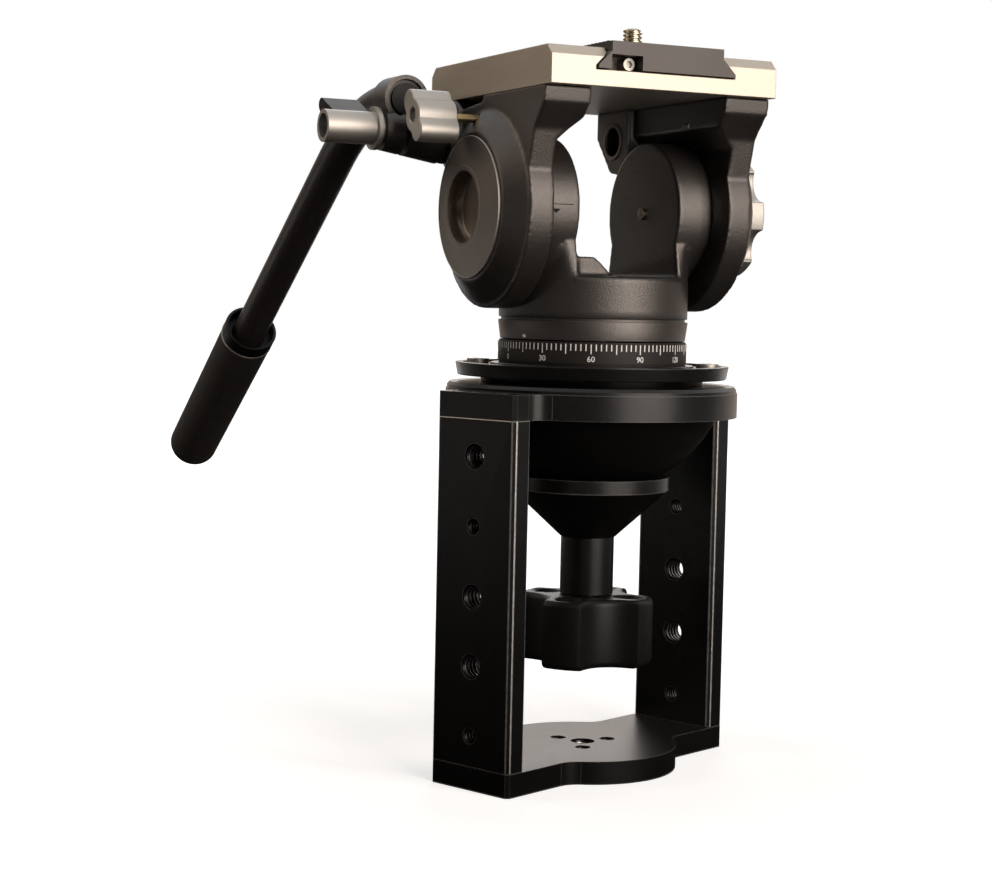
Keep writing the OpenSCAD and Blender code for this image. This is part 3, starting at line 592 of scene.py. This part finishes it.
def thread(root, crest, pitch, length, steps=28):
    """A thread from z = 0 up; a crest inside its root makes a hole's thread, with a finish of its own."""
    bm = bmesh.new()
    turns = int(length / pitch) + 3
    line = profile_line(bm, ((root, -pitch), (root, -0.92 * pitch), (crest, -0.62 * pitch),
                             (crest, -0.38 * pitch), (root, -0.08 * pitch), (root, 0)))
    bmesh.ops.spin(bm, geom=line, axis=(0, 0, 1), cent=(0, 0, 0), dvec=(0, 0, pitch / steps),
                   angle=radians(360) * turns, steps=steps * turns)
    bmesh.ops.remove_doubles(bm, verts=bm.verts, dist=pitch / 500)
    for height, side in ((0, -1), (length, 1)):
        bmesh.ops.bisect_plane(bm, geom=everything(bm), plane_co=(0, 0, height), plane_no=(0, 0, side),
                               clear_outer=True)
    bmesh.ops.recalc_face_normals(bm, faces=bm.faces)
    face = max(bm.faces, key=lambda f: f.calc_area())
    outward = face.normal.xy.dot(face.calc_center_median().xy) > 0
    if outward != (crest > root):
        bmesh.ops.reverse_faces(bm, faces=bm.faces)
    for face in bm.faces:
        on_crest = all(abs(vert.co.xy.length - crest) < 0.01 for vert in face.verts)
        face.material_index = int(on_crest and crest < root)
    return bm


def arc(centre, radius, start, end, count=6):
    """Profile points on part of a circle, angles in degrees from outwards to up."""
    angles = [radians(start + (end - start) * i / count) for i in range(count + 1)]
    return [(centre[0] + radius * cos(a), centre[1] + radius * sin(a)) for a in angles]


def joined(parts):
    """One drawing from several."""
    whole = bmesh.new()
    for bm in parts:
        mesh = bpy.data.meshes.new("part")
        bm.to_mesh(mesh)
        bm.free()
        whole.from_mesh(mesh)
        bpy.data.meshes.remove(mesh)
    return whole


# %% [markdown]
# ## Tapped holes
#
# The side plates and the base are drilled and tapped for accessories. A black plate shows its threads
# as bright crescents, because the tap cuts through the anodising, so the crests of a thread have a
# finish of their own. Each hole gets a sleeve that hangs in its bore: the large ones are three eighths
# of an inch with 16 turns to the inch, the small ones a quarter of an inch with 20.

# %% Threads in the holes of the bracket
INCH = 25.4
LARGE, SMALL = (4.0, INCH / 16), (2.6, INCH / 20)
LARGE_ROWS, LOW_HOLE, HOLE_PITCH = (1, 2, 4), 17.2, 22
BASE_RING_R, BASE_FOOT = 9.5, 0.2
IN_PLATE, IN_BASE = 7.6, 7.1


def hole_thread(bore, length, origin, axis):
    """The inside thread of one bore; origin and axis are in the turned frame of the bracket."""
    radius, pitch = bore
    root, crest = radius - 0.03, radius - 0.38 * pitch
    sleeve = thread(root, crest, pitch, length)
    return place(sleeve, bracket_turn @ Vector(origin), bracket_turn @ Vector(axis))


def thread_piece(name, holes):
    """The threads of several holes as one piece, black with bright crests."""
    threads = new_piece(name, joined(holes), "black_anodised", "bracket", 60)
    threads.data.materials.append(finishes["cut_thread"])


for name, start in (("left", -55.8), ("right", 48.2)):
    thread_piece("plate_threads_" + name, [
        hole_thread(LARGE if row in LARGE_ROWS else SMALL, IN_PLATE, (start, 0, LOW_HOLE + HOLE_PITCH * row),
                    (1, 0, 0)) for row in range(5)])
base_holes = [hole_thread(LARGE, IN_BASE, (0, 0, BASE_FOOT), (0, 0, 1))]
for angle in (100, 220, 340):
    spot = (BASE_RING_R * cos(radians(angle)), BASE_RING_R * sin(radians(angle)), BASE_FOOT)
    base_holes.append(hole_thread(SMALL, IN_BASE, spot, (0, 0, 1)))
thread_piece("base_threads", base_holes)
print("tapped holes:", 10 + len(base_holes))

# %% [markdown]
# ## The pan scale
#
# The ring under the yoke is printed with a white line each three degrees, a longer one each fifteen
# and a number each thirty. One line is a small block, and a spin that keeps its copies apart repeats
# it round the ring. A number is set as text, made a mesh, and bent round the ring by turning its
# width into an angle.

# %% Lines and numbers of the pan scale
SCALE_R, SCALE_TOP, INK_LIFT = 31.0, 140.45, 0.01
SCALE_ZERO = -179


def spun_copies(bm, count):
    """Repeats a drawing evenly round z."""
    bmesh.ops.spin(bm, geom=everything(bm), axis=(0, 0, 1), cent=(0, 0, 0),
                   angle=radians(360 * (count - 1) / count), steps=count - 1, use_duplicate=True)
    bmesh.ops.recalc_face_normals(bm, faces=bm.faces)
    return bm


def scale_lines(count, length):
    """White lines round the ring, hung from its upper edge."""
    bm = bmesh.new()
    bmesh.ops.create_cube(bm, size=1)
    bmesh.ops.scale(bm, vec=(0.06, 0.34, length), verts=bm.verts)
    bmesh.ops.translate(bm, vec=(SCALE_R + INK_LIFT, 0, SCALE_TOP - length / 2), verts=bm.verts)
    bmesh.ops.rotate(bm, matrix=Matrix.Rotation(radians(SCALE_ZERO + 180), 3, "Z"), cent=(0, 0, 0),
                     verts=bm.verts)
    return spun_copies(bm, count)


def scale_number(label, height, foot):
    """A number bent round the ring; it reads from outside and sits at its own angle."""
    curve = bpy.data.curves.new("number", "FONT")
    curve.body = str(label)
    curve.size = height / 0.7
    curve.align_x = "CENTER"
    curve.extrude = 0.03
    curve.resolution_u = 3
    sign = bpy.data.objects.new("number", curve)
    mesh = bpy.data.meshes.new_from_object(sign)
    bm = bmesh.new()
    bm.from_mesh(mesh)
    bpy.data.objects.remove(sign)
    bpy.data.meshes.remove(mesh)
    for vert in bm.verts:
        angle = radians(label + SCALE_ZERO) + vert.co.x / SCALE_R
        reach = SCALE_R + INK_LIFT + vert.co.z
        vert.co = (reach * cos(angle), reach * sin(angle), foot + vert.co.y)
    return bm


NUMBER_H, NUMBER_FOOT = 1.8, 134.9
marks = [scale_lines(120, 2.1), scale_lines(24, 3.1)]
marks += [scale_number(label, NUMBER_H, NUMBER_FOOT) for label in range(0, 360, 30)]
new_piece("scale_marks", place(joined(marks)), "white_print", "levelling")
print("scale marks:", len(marks) - 2, "numbers between their lines")

# %% [markdown]
# ## The camera screw
#
# A quarter inch screw stands out of the quick release plate. Its flange keeps it from falling out.
# The core is lathed, the thread is laid over it, and the two overlap a little so that no gap shows.

# %% Camera screw
PLATE_Z, SCREW_Y = 224.5, -22
core = lathe([(0, 0.9), (7.6, 0.9), (7.6, 4.1), (2.5, 4.1), (2.5, 8.8), (4.1, 8.8), (4.4, 9.1), (4.4, 9.8),
              (4.1, 10.0), (2.5, 10.0), (2.5, 15.1), (2.0, 15.7), (0, 15.7)], 48)
place(core, (0, SCREW_Y, PLATE_Z))
turns = place(thread(2.45, 3.08, INCH / 20, 5.2), (0, SCREW_Y, PLATE_Z + 10))
screw = new_piece("camera_screw_threaded", joined([core, turns]), "pale_brass", body_of["camera_screw"])
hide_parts("camera_screw")
print("camera screw top", round(max(v.co.z for v in screw.data.vertices) / MM, 2), "mm")

# %% [markdown]
# ## The tie knob
#
# The knob under the bowl has four lobes with hollow flanks, so that the fingers can pull it tight, and
# a shallow oval dimple on top of each lobe where the moulder saved plastic. A bevelled copy of the
# solid would keep its corners hard, so the knob starts as a lathed puck with rounded rims. Then each
# ring of points is drawn in to the outline: the radius at an angle is the lesser of the puck's and
# that of the nearest hollow, blended so that the corners stay round.

# %% Tie knob
KNOB_TOP, KNOB_H, KNOB_R, KNOB_TURN, RIM = 57.03, 22.5, 22.3, 40, 2.2
HOLLOW_R = 0.6 * KNOB_R
HOLLOW_FAR = 0.69 * KNOB_R + HOLLOW_R
LOBES = (0, 90, 180, 270)
CORNER_POWER = 24
DIMPLE_FAR, DIMPLE_L, DIMPLE_W, DIMPLE_DEEP = 14.6, 5.2, 4.4, 1.6


def knob_reach(angle):
    """Radius of the outline at an angle: the puck and four hollows, joined by a soft minimum."""
    reach = [KNOB_R]
    for lobe in LOBES:
        off = angle - radians(lobe + 45 + KNOB_TURN)
        if cos(off) > 0 and HOLLOW_FAR * abs(sin(off)) < HOLLOW_R:
            reach.append(HOLLOW_FAR * cos(off) - sqrt(HOLLOW_R ** 2 - (HOLLOW_FAR * sin(off)) ** 2))
    return sum(r ** -CORNER_POWER for r in reach) ** (-1 / CORNER_POWER)


def dimple(point):
    """Depth of the lobe dimples at a point of the knob's top."""
    deep = 0
    for lobe in LOBES:
        along = radians(lobe + KNOB_TURN)
        u = point.x * cos(along) + point.y * sin(along) - DIMPLE_FAR
        v = point.y * cos(along) - point.x * sin(along)
        edge = sqrt((u / DIMPLE_L) ** 2 + (v / DIMPLE_W) ** 2)
        deep = max(deep, DIMPLE_DEEP * min(1, max(0, (1 - edge) / 0.35)) ** 0.6)
    return deep


puck = [(0, KNOB_H)] + [(2 + 16.6 * i / 22, KNOB_H) for i in range(23)]
puck += arc((KNOB_R - RIM, KNOB_H - RIM), RIM, 78, 0) + [(KNOB_R, KNOB_H / 2)]
puck += arc((KNOB_R - RIM, RIM), RIM, 0, -90) + [(8, 0), (0, 0)]
knob = lathe(puck, 144)
for vert in knob.verts:
    radius, angle = vert.co.xy.length, atan2(vert.co.y, vert.co.x)
    draw_in = KNOB_R - knob_reach(angle)
    share = min(1, radius / (KNOB_R - RIM))
    if radius > 0:
        vert.co.xy *= (radius - draw_in * share) / radius
for vert in knob.verts:
    if vert.co.z > KNOB_H - 0.01:
        vert.co.z -= dimple(vert.co)
place(knob, (0, 0, KNOB_TOP - KNOB_H))
lobed = new_piece("tie_knob_lobed", knob, "black_plastic", body_of["tie_knob"], 50)
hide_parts("tie_knob")
print("tie knob reach", [round(knob_reach(radians(KNOB_TURN + a)), 1) for a in (0, 22, 45)], "mm")

# %% [markdown]
# ## The handle
#
# The handle is one tube, bent over a former. The solids show the bend as three straight cuts, so the
# tube is drawn again: a circle is pushed straight through the clamp, spun about the centre of the
# bend, and pushed on to the grip. The foam grip is lathed with a blunt, well rounded end.

# %% Bent tube and grip
BOSS_X, BOSS_Z, BEND_Y, BEND_R, FALL, SWING = -58.3, 218.3, 33.6, 84.0, 36, 1.3
HANDLE_L, TUBE_R, BORE_R, GRIP_R, IN_GRIP = 105.0, 6.3, 5.1, 10.2, 30
swing = Matrix.Translation(Vector((BOSS_X, BEND_Y, BOSS_Z))) @ Matrix.Rotation(radians(SWING), 4, "Y")
bend = Matrix.Translation((0, 0, -BEND_R)) @ Matrix.Rotation(radians(-FALL), 4, "X")
tube_end = swing @ bend @ Matrix.Translation((0, 0, BEND_R)) @ Matrix.Rotation(radians(-90), 4, "X")


def pushed(bm, loop, vec):
    """Extrudes a loop of edges along a vector and returns the new loop."""
    grown = bmesh.ops.extrude_edge_only(bm, edges=loop)["geom"]
    bmesh.ops.translate(bm, vec=vec, verts=[v for v in grown if isinstance(v, bmesh.types.BMVert)])
    return [e for e in grown if isinstance(e, bmesh.types.BMEdge)]


tube = bmesh.new()
bmesh.ops.create_circle(tube, segments=48, radius=BORE_R, matrix=Matrix.Rotation(radians(90), 4, "X"))
bmesh.ops.translate(tube, vec=(0, -2, 0), verts=tube.verts)
loop = pushed(tube, tube.edges[:], (0, -8, 0))
loop = pushed(tube, loop, (0, 0, 0))
mouth = {v for e in loop for v in e.verts}
bmesh.ops.scale(tube, vec=(TUBE_R / BORE_R, 1, TUBE_R / BORE_R), verts=list(mouth))
loop = pushed(tube, loop, (0, 10, 0))
ring = list({v for e in loop for v in e.verts}) + loop
turned = bmesh.ops.spin(tube, geom=ring, cent=(0, 0, -BEND_R), axis=(1, 0, 0), angle=radians(-FALL),
                        steps=24)
loop = [e for e in turned["geom_last"] if isinstance(e, bmesh.types.BMEdge)]
pushed(tube, loop, Vector((0, cos(radians(FALL)), -sin(radians(FALL)))) * (HANDLE_L + IN_GRIP))
bmesh.ops.remove_doubles(tube, verts=tube.verts, dist=0.001)
bmesh.ops.recalc_face_normals(tube, faces=tube.faces)
bmesh.ops.transform(tube, matrix=Matrix.Scale(MM, 4) @ swing, verts=tube.verts)
bent = new_piece("handle_tube_bent", tube, "handle_black", body_of["handle_tube"], 50)
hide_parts("handle_stub", "handle_elbow", "handle_tube")

GRIP_FROM, GRIP_TO, BLUNT = 6.6, 91.4, 6.8
sleeve = lathe([(TUBE_R + 0.1, GRIP_FROM), (GRIP_R - 0.5, GRIP_FROM), (GRIP_R - 0.1, GRIP_FROM + 0.4)]
               + [(GRIP_R - 0.1 - 0.4 * i / 10, GRIP_FROM + 1 + 76 * i / 10) for i in range(11)]
               + arc((GRIP_R - 0.5 - BLUNT, GRIP_TO - BLUNT), BLUNT, 0, 90, 12) + [(0, GRIP_TO)], 64)
bmesh.ops.translate(sleeve, vec=(0, 0, HANDLE_L), verts=sleeve.verts)
bmesh.ops.transform(sleeve, matrix=Matrix.Scale(MM, 4) @ tube_end, verts=sleeve.verts)
grip = new_piece("grip_sleeve", sleeve, "rubber", body_of["grip"], 50)
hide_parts("grip")
print("tube faces", len(bent.data.polygons), "grip from", GRIP_FROM, "to", GRIP_TO, "mm past the bend's end")

# %% [markdown]
# ## The hub and its ring
#
# A satin ring is let into the left arm round a hub that is hollowed like a shallow bowl. The ring's
# edges are diamond cut and show as thin bright lines. A bevel with a bright finish would do, but a
# fine wire laid along each edge keeps its width at any distance. The hub is lathed.

# %% Hub bowl and bright rings
AXIS_Z, FACE_X = 183.1, -45.5
hub = lathe([(11.45, -3.5), (11.45, 2.2)] + arc((9.0, 0.0), 2.3, 0, -80, 8)
            + [(6, -2.55), (3, -2.75), (0, -2.8)], 72)
bowl = new_piece("hub_bowl", place(hub, (FACE_X, 0, AXIS_Z), (-1, 0, 0)), "hub_grey", "tilt", 50)
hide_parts("hub_cap")
wires = []
for radius, rise, wire in ((22.42, 0.62, 0.2), (13.0, 2.52, 0.1)):
    ring = lathe(arc((radius, rise), wire, 0, 330, 11), 144, closed=True)
    wires.append(place(ring, (FACE_X, 0, AXIS_Z), (-1, 0, 0)))
edges = new_piece("face_ring_edges", joined(wires), "silver", "tilt", 80)
print("hub faces", len(bowl.data.polygons), "ring edge faces", len(edges.data.polygons))

# %% [markdown]
# ## Castings
#
# The arms and the yoke are die cast, so every corner is round and the walls flow into each other. A
# bevel can't do that where many edges meet. A copy is rebuilt from small cubes instead, which gives it
# an even mesh, and smoothed: a few passes break the edges, and many passes in a zone melt a wall into
# the next one.


# %% Arms and yoke
def cast_copy(node, voxel, zones, cut=None):
    """A copy of a solid rebuilt from cubes and smoothed; zones are pairs of passes and a test in mm."""
    mesh = bpy.data.meshes.new("mould")
    bm = merged_copy(node)
    bm.to_mesh(mesh)
    bm.free()
    mould = bpy.data.objects.new("mould", mesh)
    bpy.context.collection.objects.link(mould)
    cubes = mould.modifiers.new("cubes", "REMESH")
    cubes.mode = "VOXEL"
    cubes.voxel_size = voxel * MM
    seen = mould.evaluated_get(bpy.context.evaluated_depsgraph_get())
    bm = bmesh.new()
    bm.from_mesh(seen.to_mesh())
    bpy.data.objects.remove(mould)
    for passes, test in zones:
        soft = [vert for vert in bm.verts if test(vert.co / MM)]
        for _ in range(passes):
            bmesh.ops.smooth_vert(bm, verts=soft, factor=0.5, use_axis_x=True, use_axis_y=True,
                                  use_axis_z=True)
    if cut:
        bmesh.ops.bisect_plane(bm, geom=everything(bm), plane_co=(0, 0, cut * MM), plane_no=(0, 0, -1),
                               clear_outer=True)
    piece = new_piece(node + "_cast", bm, node_slot[node], body_of[node], 180)
    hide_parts(node)
    print(node, "cast with", len(piece.data.polygons), "faces")


def everywhere(point):
    return True


def ear_root(point):
    """Where an arm's ear under the platform grows out of its disc."""
    return point.y < -20 and 196 < point.z < 214


def cheek_root(point):
    """Where a cheek of the yoke grows out of the collar."""
    return abs(point.x) > 19.5 and 156 < point.z < 172


for arm in ("arm_left", "arm_right"):
    cast_copy(arm, 0.5, [(3, everywhere), (8, ear_root)])
cast_copy("yoke", 0.55, [(4, everywhere), (36, cheek_root)], cut=151)

# %% [markdown]
# ## Crisp parts of the castings
#
# Smoothing blurs what a tool has cut after casting, so those parts are made again: the lower collar
# of the yoke with its groove and the lip of the rear bore are lathed, and the ridges of the two
# rosettes, in which a handle bites, are one block spun into a ring.

# %% Collar, rosettes and lip
ROSETTE_X, BORE_X, REAR_Y, REAR_Z, RIDGES = 43.6, 21.5, 28, 208.6, 24
collar = lathe([(20.5, 141.4), (30.2, 141.4), (30.4, 141.6), (31.15, 147.3), (31.0, 147.6), (30.2, 147.65),
                (30.2, 148.4), (30.8, 148.5), (31.0, 148.8), (31.0, 151.2), (20.5, 151.2)], 128, closed=True)
new_piece("yoke_collar", place(collar), node_slot["yoke"], "pan")


def rosette(side):
    """The ridges of a rosette: one block, narrowed at its top, spun into a ring of copies."""
    bm = bmesh.new()
    bmesh.ops.create_cube(bm, size=1)
    bmesh.ops.scale(bm, vec=(5.2, 0.9, 1.0), verts=bm.verts)
    bmesh.ops.translate(bm, vec=(7.6, 0, 0.3), verts=bm.verts)
    top = [vert for vert in bm.verts if vert.co.z > 0.5]
    bmesh.ops.scale(bm, vec=(1, 0.35, 1), verts=top)
    return place(spun_copies(bm, RIDGES), (side * ROSETTE_X, REAR_Y, REAR_Z), (side, 0, 0))


new_piece("rosette_ridges", joined([rosette(-1), rosette(1)]), "black_paint", "tilt")
lip = lathe([(4.9, -0.2), (6.3, -0.2), (6.3, 0.25), (6.1, 0.45), (5.1, 0.45), (4.9, 0.25)], 48, closed=True)
new_piece("bore_lip", place(lip, (BORE_X, REAR_Y, REAR_Z), (-1, 0, 0)), "satin_grey", "tilt")
print("collar, lip and", 2 * RIDGES, "ridges")

# %% [markdown]
# ## Small marks and fittings
#
# An index line and a small triangle on the left cheek show where the head is level, and a white
# diamond over the scale points at the pan angle. Under the platform a short steel pin stops the tilt.
# Ink could be painted in a material, but a thin plate bent onto the rim keeps its edge sharp.


# %% Index marks and pin
CHEEK_R, MARK_LIFT = 23.5, 0.05


def rim_patch(points):
    """A thin plate bent onto a cheek's rim about the tilt axis; points are (x, angle in degrees)."""
    bm = bmesh.new()
    bm.faces.new([bm.verts.new((x, angle, 0)) for x, angle in points])
    bmesh.ops.subdivide_edges(bm, edges=bm.edges[:], cuts=2, use_grid_fill=True)
    bmesh.ops.solidify(bm, geom=bm.faces[:], thickness=0.08)
    for vert in bm.verts:
        angle = radians(vert.co.y)
        reach = CHEEK_R + MARK_LIFT - abs(vert.co.z)
        vert.co = (vert.co.x, -reach * cos(angle), AXIS_Z + reach * sin(angle))
    bmesh.ops.recalc_face_normals(bm, faces=bm.faces)
    return place(bm)


index_line = rim_patch([(-30.3, 2.2), (-20.5, 2.2), (-20.5, 2.8), (-30.3, 2.8)])
triangle = rim_patch([(-28.2, -1.0), (-26.6, -4.4), (-25.0, -1.0)])
new_piece("level_marks", joined([index_line, triangle]), "dark_ink", "pan")
pin = lathe([(0, 0), (1.0, 0), (1.0, 2.6), (0.8, 2.9), (0.45, 2.9), (0.4, 2.5), (0, 2.5)], 32)
new_piece("tilt_pin", place(pin, (24.0, -15.6, 211.2), (0, -1, 0)), "silver", "tilt")

LIP_R, LIP_Z, LIP_LEAN, PAN_MARK = 30.66, 142.5, -0.13, radians(-164)
mark = bmesh.new()
bmesh.ops.create_circle(mark, cap_ends=True, segments=4, radius=0.85)
bmesh.ops.scale(mark, vec=(0.8, 1, 1), verts=mark.verts)
bmesh.ops.solidify(mark, geom=mark.faces[:], thickness=0.12)
bmesh.ops.recalc_face_normals(mark, faces=mark.faces)
spot = (LIP_R * cos(PAN_MARK), LIP_R * sin(PAN_MARK), LIP_Z)
place(mark, spot, (cos(PAN_MARK), sin(PAN_MARK), LIP_LEAN))
new_piece("pan_mark", mark, "white_print", "pan")
print("marks and pin placed")

# %% [markdown]
# ## Light, floor and backdrop
#
# The photograph has a plain white ground and one broad light in front, a little to the right. The
# rest of the room is dark, which is why the black faces stay black. The world is white to the camera
# and to reflections and dim as a light. A tall dark card bends round the left and the front, a low
# brown wall stands behind on the right, and a dark mat lies under the head. The camera can't see
# them, but the castings and the base plate mirror them.


# %% World and lamps
ROOM_LEVEL = 0.25
AIM = Vector((0, 0, 0.15))


def backdrop_rays(start):
    """1 for the rays that should meet a white backdrop: the camera's, mirrored and refracted ones."""
    seen = start.add("LightPath", output="Is Camera Ray")
    for ray in ("Is Glossy Ray", "Is Transmission Ray"):
        seen = seen.maths("MAXIMUM", seen, start.add("LightPath", output=ray))
    return seen


def backdrop_level(start):
    """Full white to the rays of the backdrop and a dim room to all others."""
    return backdrop_rays(start) * (1 - ROOM_LEVEL) + ROOM_LEVEL


def studio_world():
    """A world that is white to look at and dim as a light."""
    world = bpy.data.worlds.new("studio")
    bpy.context.scene.world = world
    world.use_nodes = True
    tree = world.node_tree
    background = tree.nodes["Background"]
    background.inputs["Color"].default_value = (1, 1, 1, 1)
    tree.links.new(backdrop_level(Wire(tree)).socket, background.inputs["Strength"])


def soft_lamp(name, bearing, height, distance, size, power, tint=(1, 1, 1)):
    """A broad lamp at a bearing round the head, 0 in front and 90 on its right, aimed at its middle."""
    light = bpy.data.lights.new(name, "AREA")
    light.shape = "RECTANGLE"
    light.size, light.size_y = size
    light.energy = power
    light.color = tint
    lamp = bpy.data.objects.new(name, light)
    lamp.location = (distance * sin(radians(bearing)), -distance * cos(radians(bearing)), height)
    lamp.rotation_euler = (AIM - lamp.location).to_track_quat("-Z", "Y").to_euler()
    bpy.context.collection.objects.link(lamp)


bpy.context.scene.view_settings.view_transform = "Standard"
studio_world()
soft_lamp("front_lamp", 15, 0.46, 1.2, (0.95, 0.85), 19, (1, 0.9, 0.82))
soft_lamp("left_lamp", -122, 0.75, 1.3, (0.9, 0.5), 4, (1, 0.84, 0.68))
soft_lamp("back_lamp", 150, 0.8, 1.4, (0.6, 0.6), 4)
print("lamps:", ", ".join(light.name for light in bpy.data.lights))

# %% [markdown]
# ## Floor and walls
#
# The ground of the picture is white paper that still holds a shadow. A plain white sheet would show
# its far edge, so the paper glows more and more away from the head until it meets the backdrop. The
# mat and the walls are seen in mirrored rays alone, which is how a photographer's cards work.


# %% Floor, mat and walls
def stage_piece(name, bm, material):
    """A piece of the studio, not of the head."""
    mesh = bpy.data.meshes.new(name)
    bm.to_mesh(mesh)
    bm.free()
    mesh.materials.append(material)
    piece = bpy.data.objects.new(name, mesh)
    bpy.context.collection.objects.link(piece)
    return piece


FADE, NEAR_GLOW = (0.08, 0.3), 0.65


def floor_finish():
    """Pale paper that keeps the shadow near the head and fades into the white backdrop further out."""
    material = bpy.data.materials.new("pale_floor")
    material.use_nodes = True
    tree = material.node_tree
    start = Wire(tree)
    place_on = start.add("TexCoord", output="Object")
    away = start.add("VectorMath", {"operation": "LENGTH"}, {0: place_on}, output="Value").ramp(*FADE)
    tint = place_on.noise(3, 2).mix((0.78, 0.78, 0.78), (0.82, 0.82, 0.82))
    paper = start.add("BsdfDiffuse", None, {"Color": tint})
    dark, white = (start.add("Emission", None, {"Strength": level}) for level in (0.0, 1.0))
    share = backdrop_rays(start) * (away * (1 - NEAR_GLOW) + NEAR_GLOW)
    glow = start.add("MixShader", None, {0: share, 1: dark, 2: white})
    both = start.add("AddShader", None, {0: paper, 1: glow})
    tree.links.new(both.socket, tree.nodes["Material Output"].inputs["Surface"])
    return material


def warm_wall_finish():
    """The brown of a room; only mirrored rays meet its full level."""
    material = bpy.data.materials.new("warm_wall")
    material.use_nodes = True
    tree = material.node_tree
    start = Wire(tree)
    tint = start.add("TexCoord", output="Object").noise(2, 2).mix((0.66, 0.52, 0.42), (0.74, 0.59, 0.48))
    glow = start.add("Emission", None, {"Color": tint, "Strength": backdrop_level(start)})
    tree.links.new(glow.socket, tree.nodes["Material Output"].inputs["Surface"])
    return material


def curved_wall(start_bearing, sweep, radius, height):
    """A wall of a radius round the head from a bearing on, going left."""
    bm = bmesh.new()
    bearing = radians(start_bearing)
    foot = [bm.verts.new((radius * sin(bearing), -radius * cos(bearing), z)) for z in (0, height)]
    bmesh.ops.spin(bm, geom=foot + [bm.edges.new(foot)], axis=(0, 0, 1), cent=(0, 0, 0),
                   angle=radians(sweep), steps=60)
    return bm


def dark_cloth(place_on):
    return {"Base Color": place_on.noise(9, 2).mix((0.02, 0.019, 0.018), (0.035, 0.033, 0.031)),
            "Roughness": 1.0, "Specular IOR Level": 0.0}


def disc(radius, segments, height=0.0):
    """A flat round sheet at a height."""
    bm = bmesh.new()
    bmesh.ops.create_circle(bm, cap_ends=True, segments=segments, radius=radius)
    bmesh.ops.translate(bm, vec=(0, 0, height), verts=bm.verts)
    return bm


WALL_R = 1.6
stage_piece("floor", disc(6, 96), floor_finish())
cloth = make_finish("dark_cloth", dark_cloth)
mat = stage_piece("dark_mat", disc(0.9, 64, 0.0004), cloth)
mat.visible_shadow = False
walls = [stage_piece("dark_card", curved_wall(-165, 250, WALL_R, 1.5), cloth),
         stage_piece("warm_wall", curved_wall(85, 110, WALL_R, 0.6), warm_wall_finish())]
for unseen in [mat] + walls:
    unseen.visible_camera = False
print("the floor, a mat and", len(walls), "walls are up")
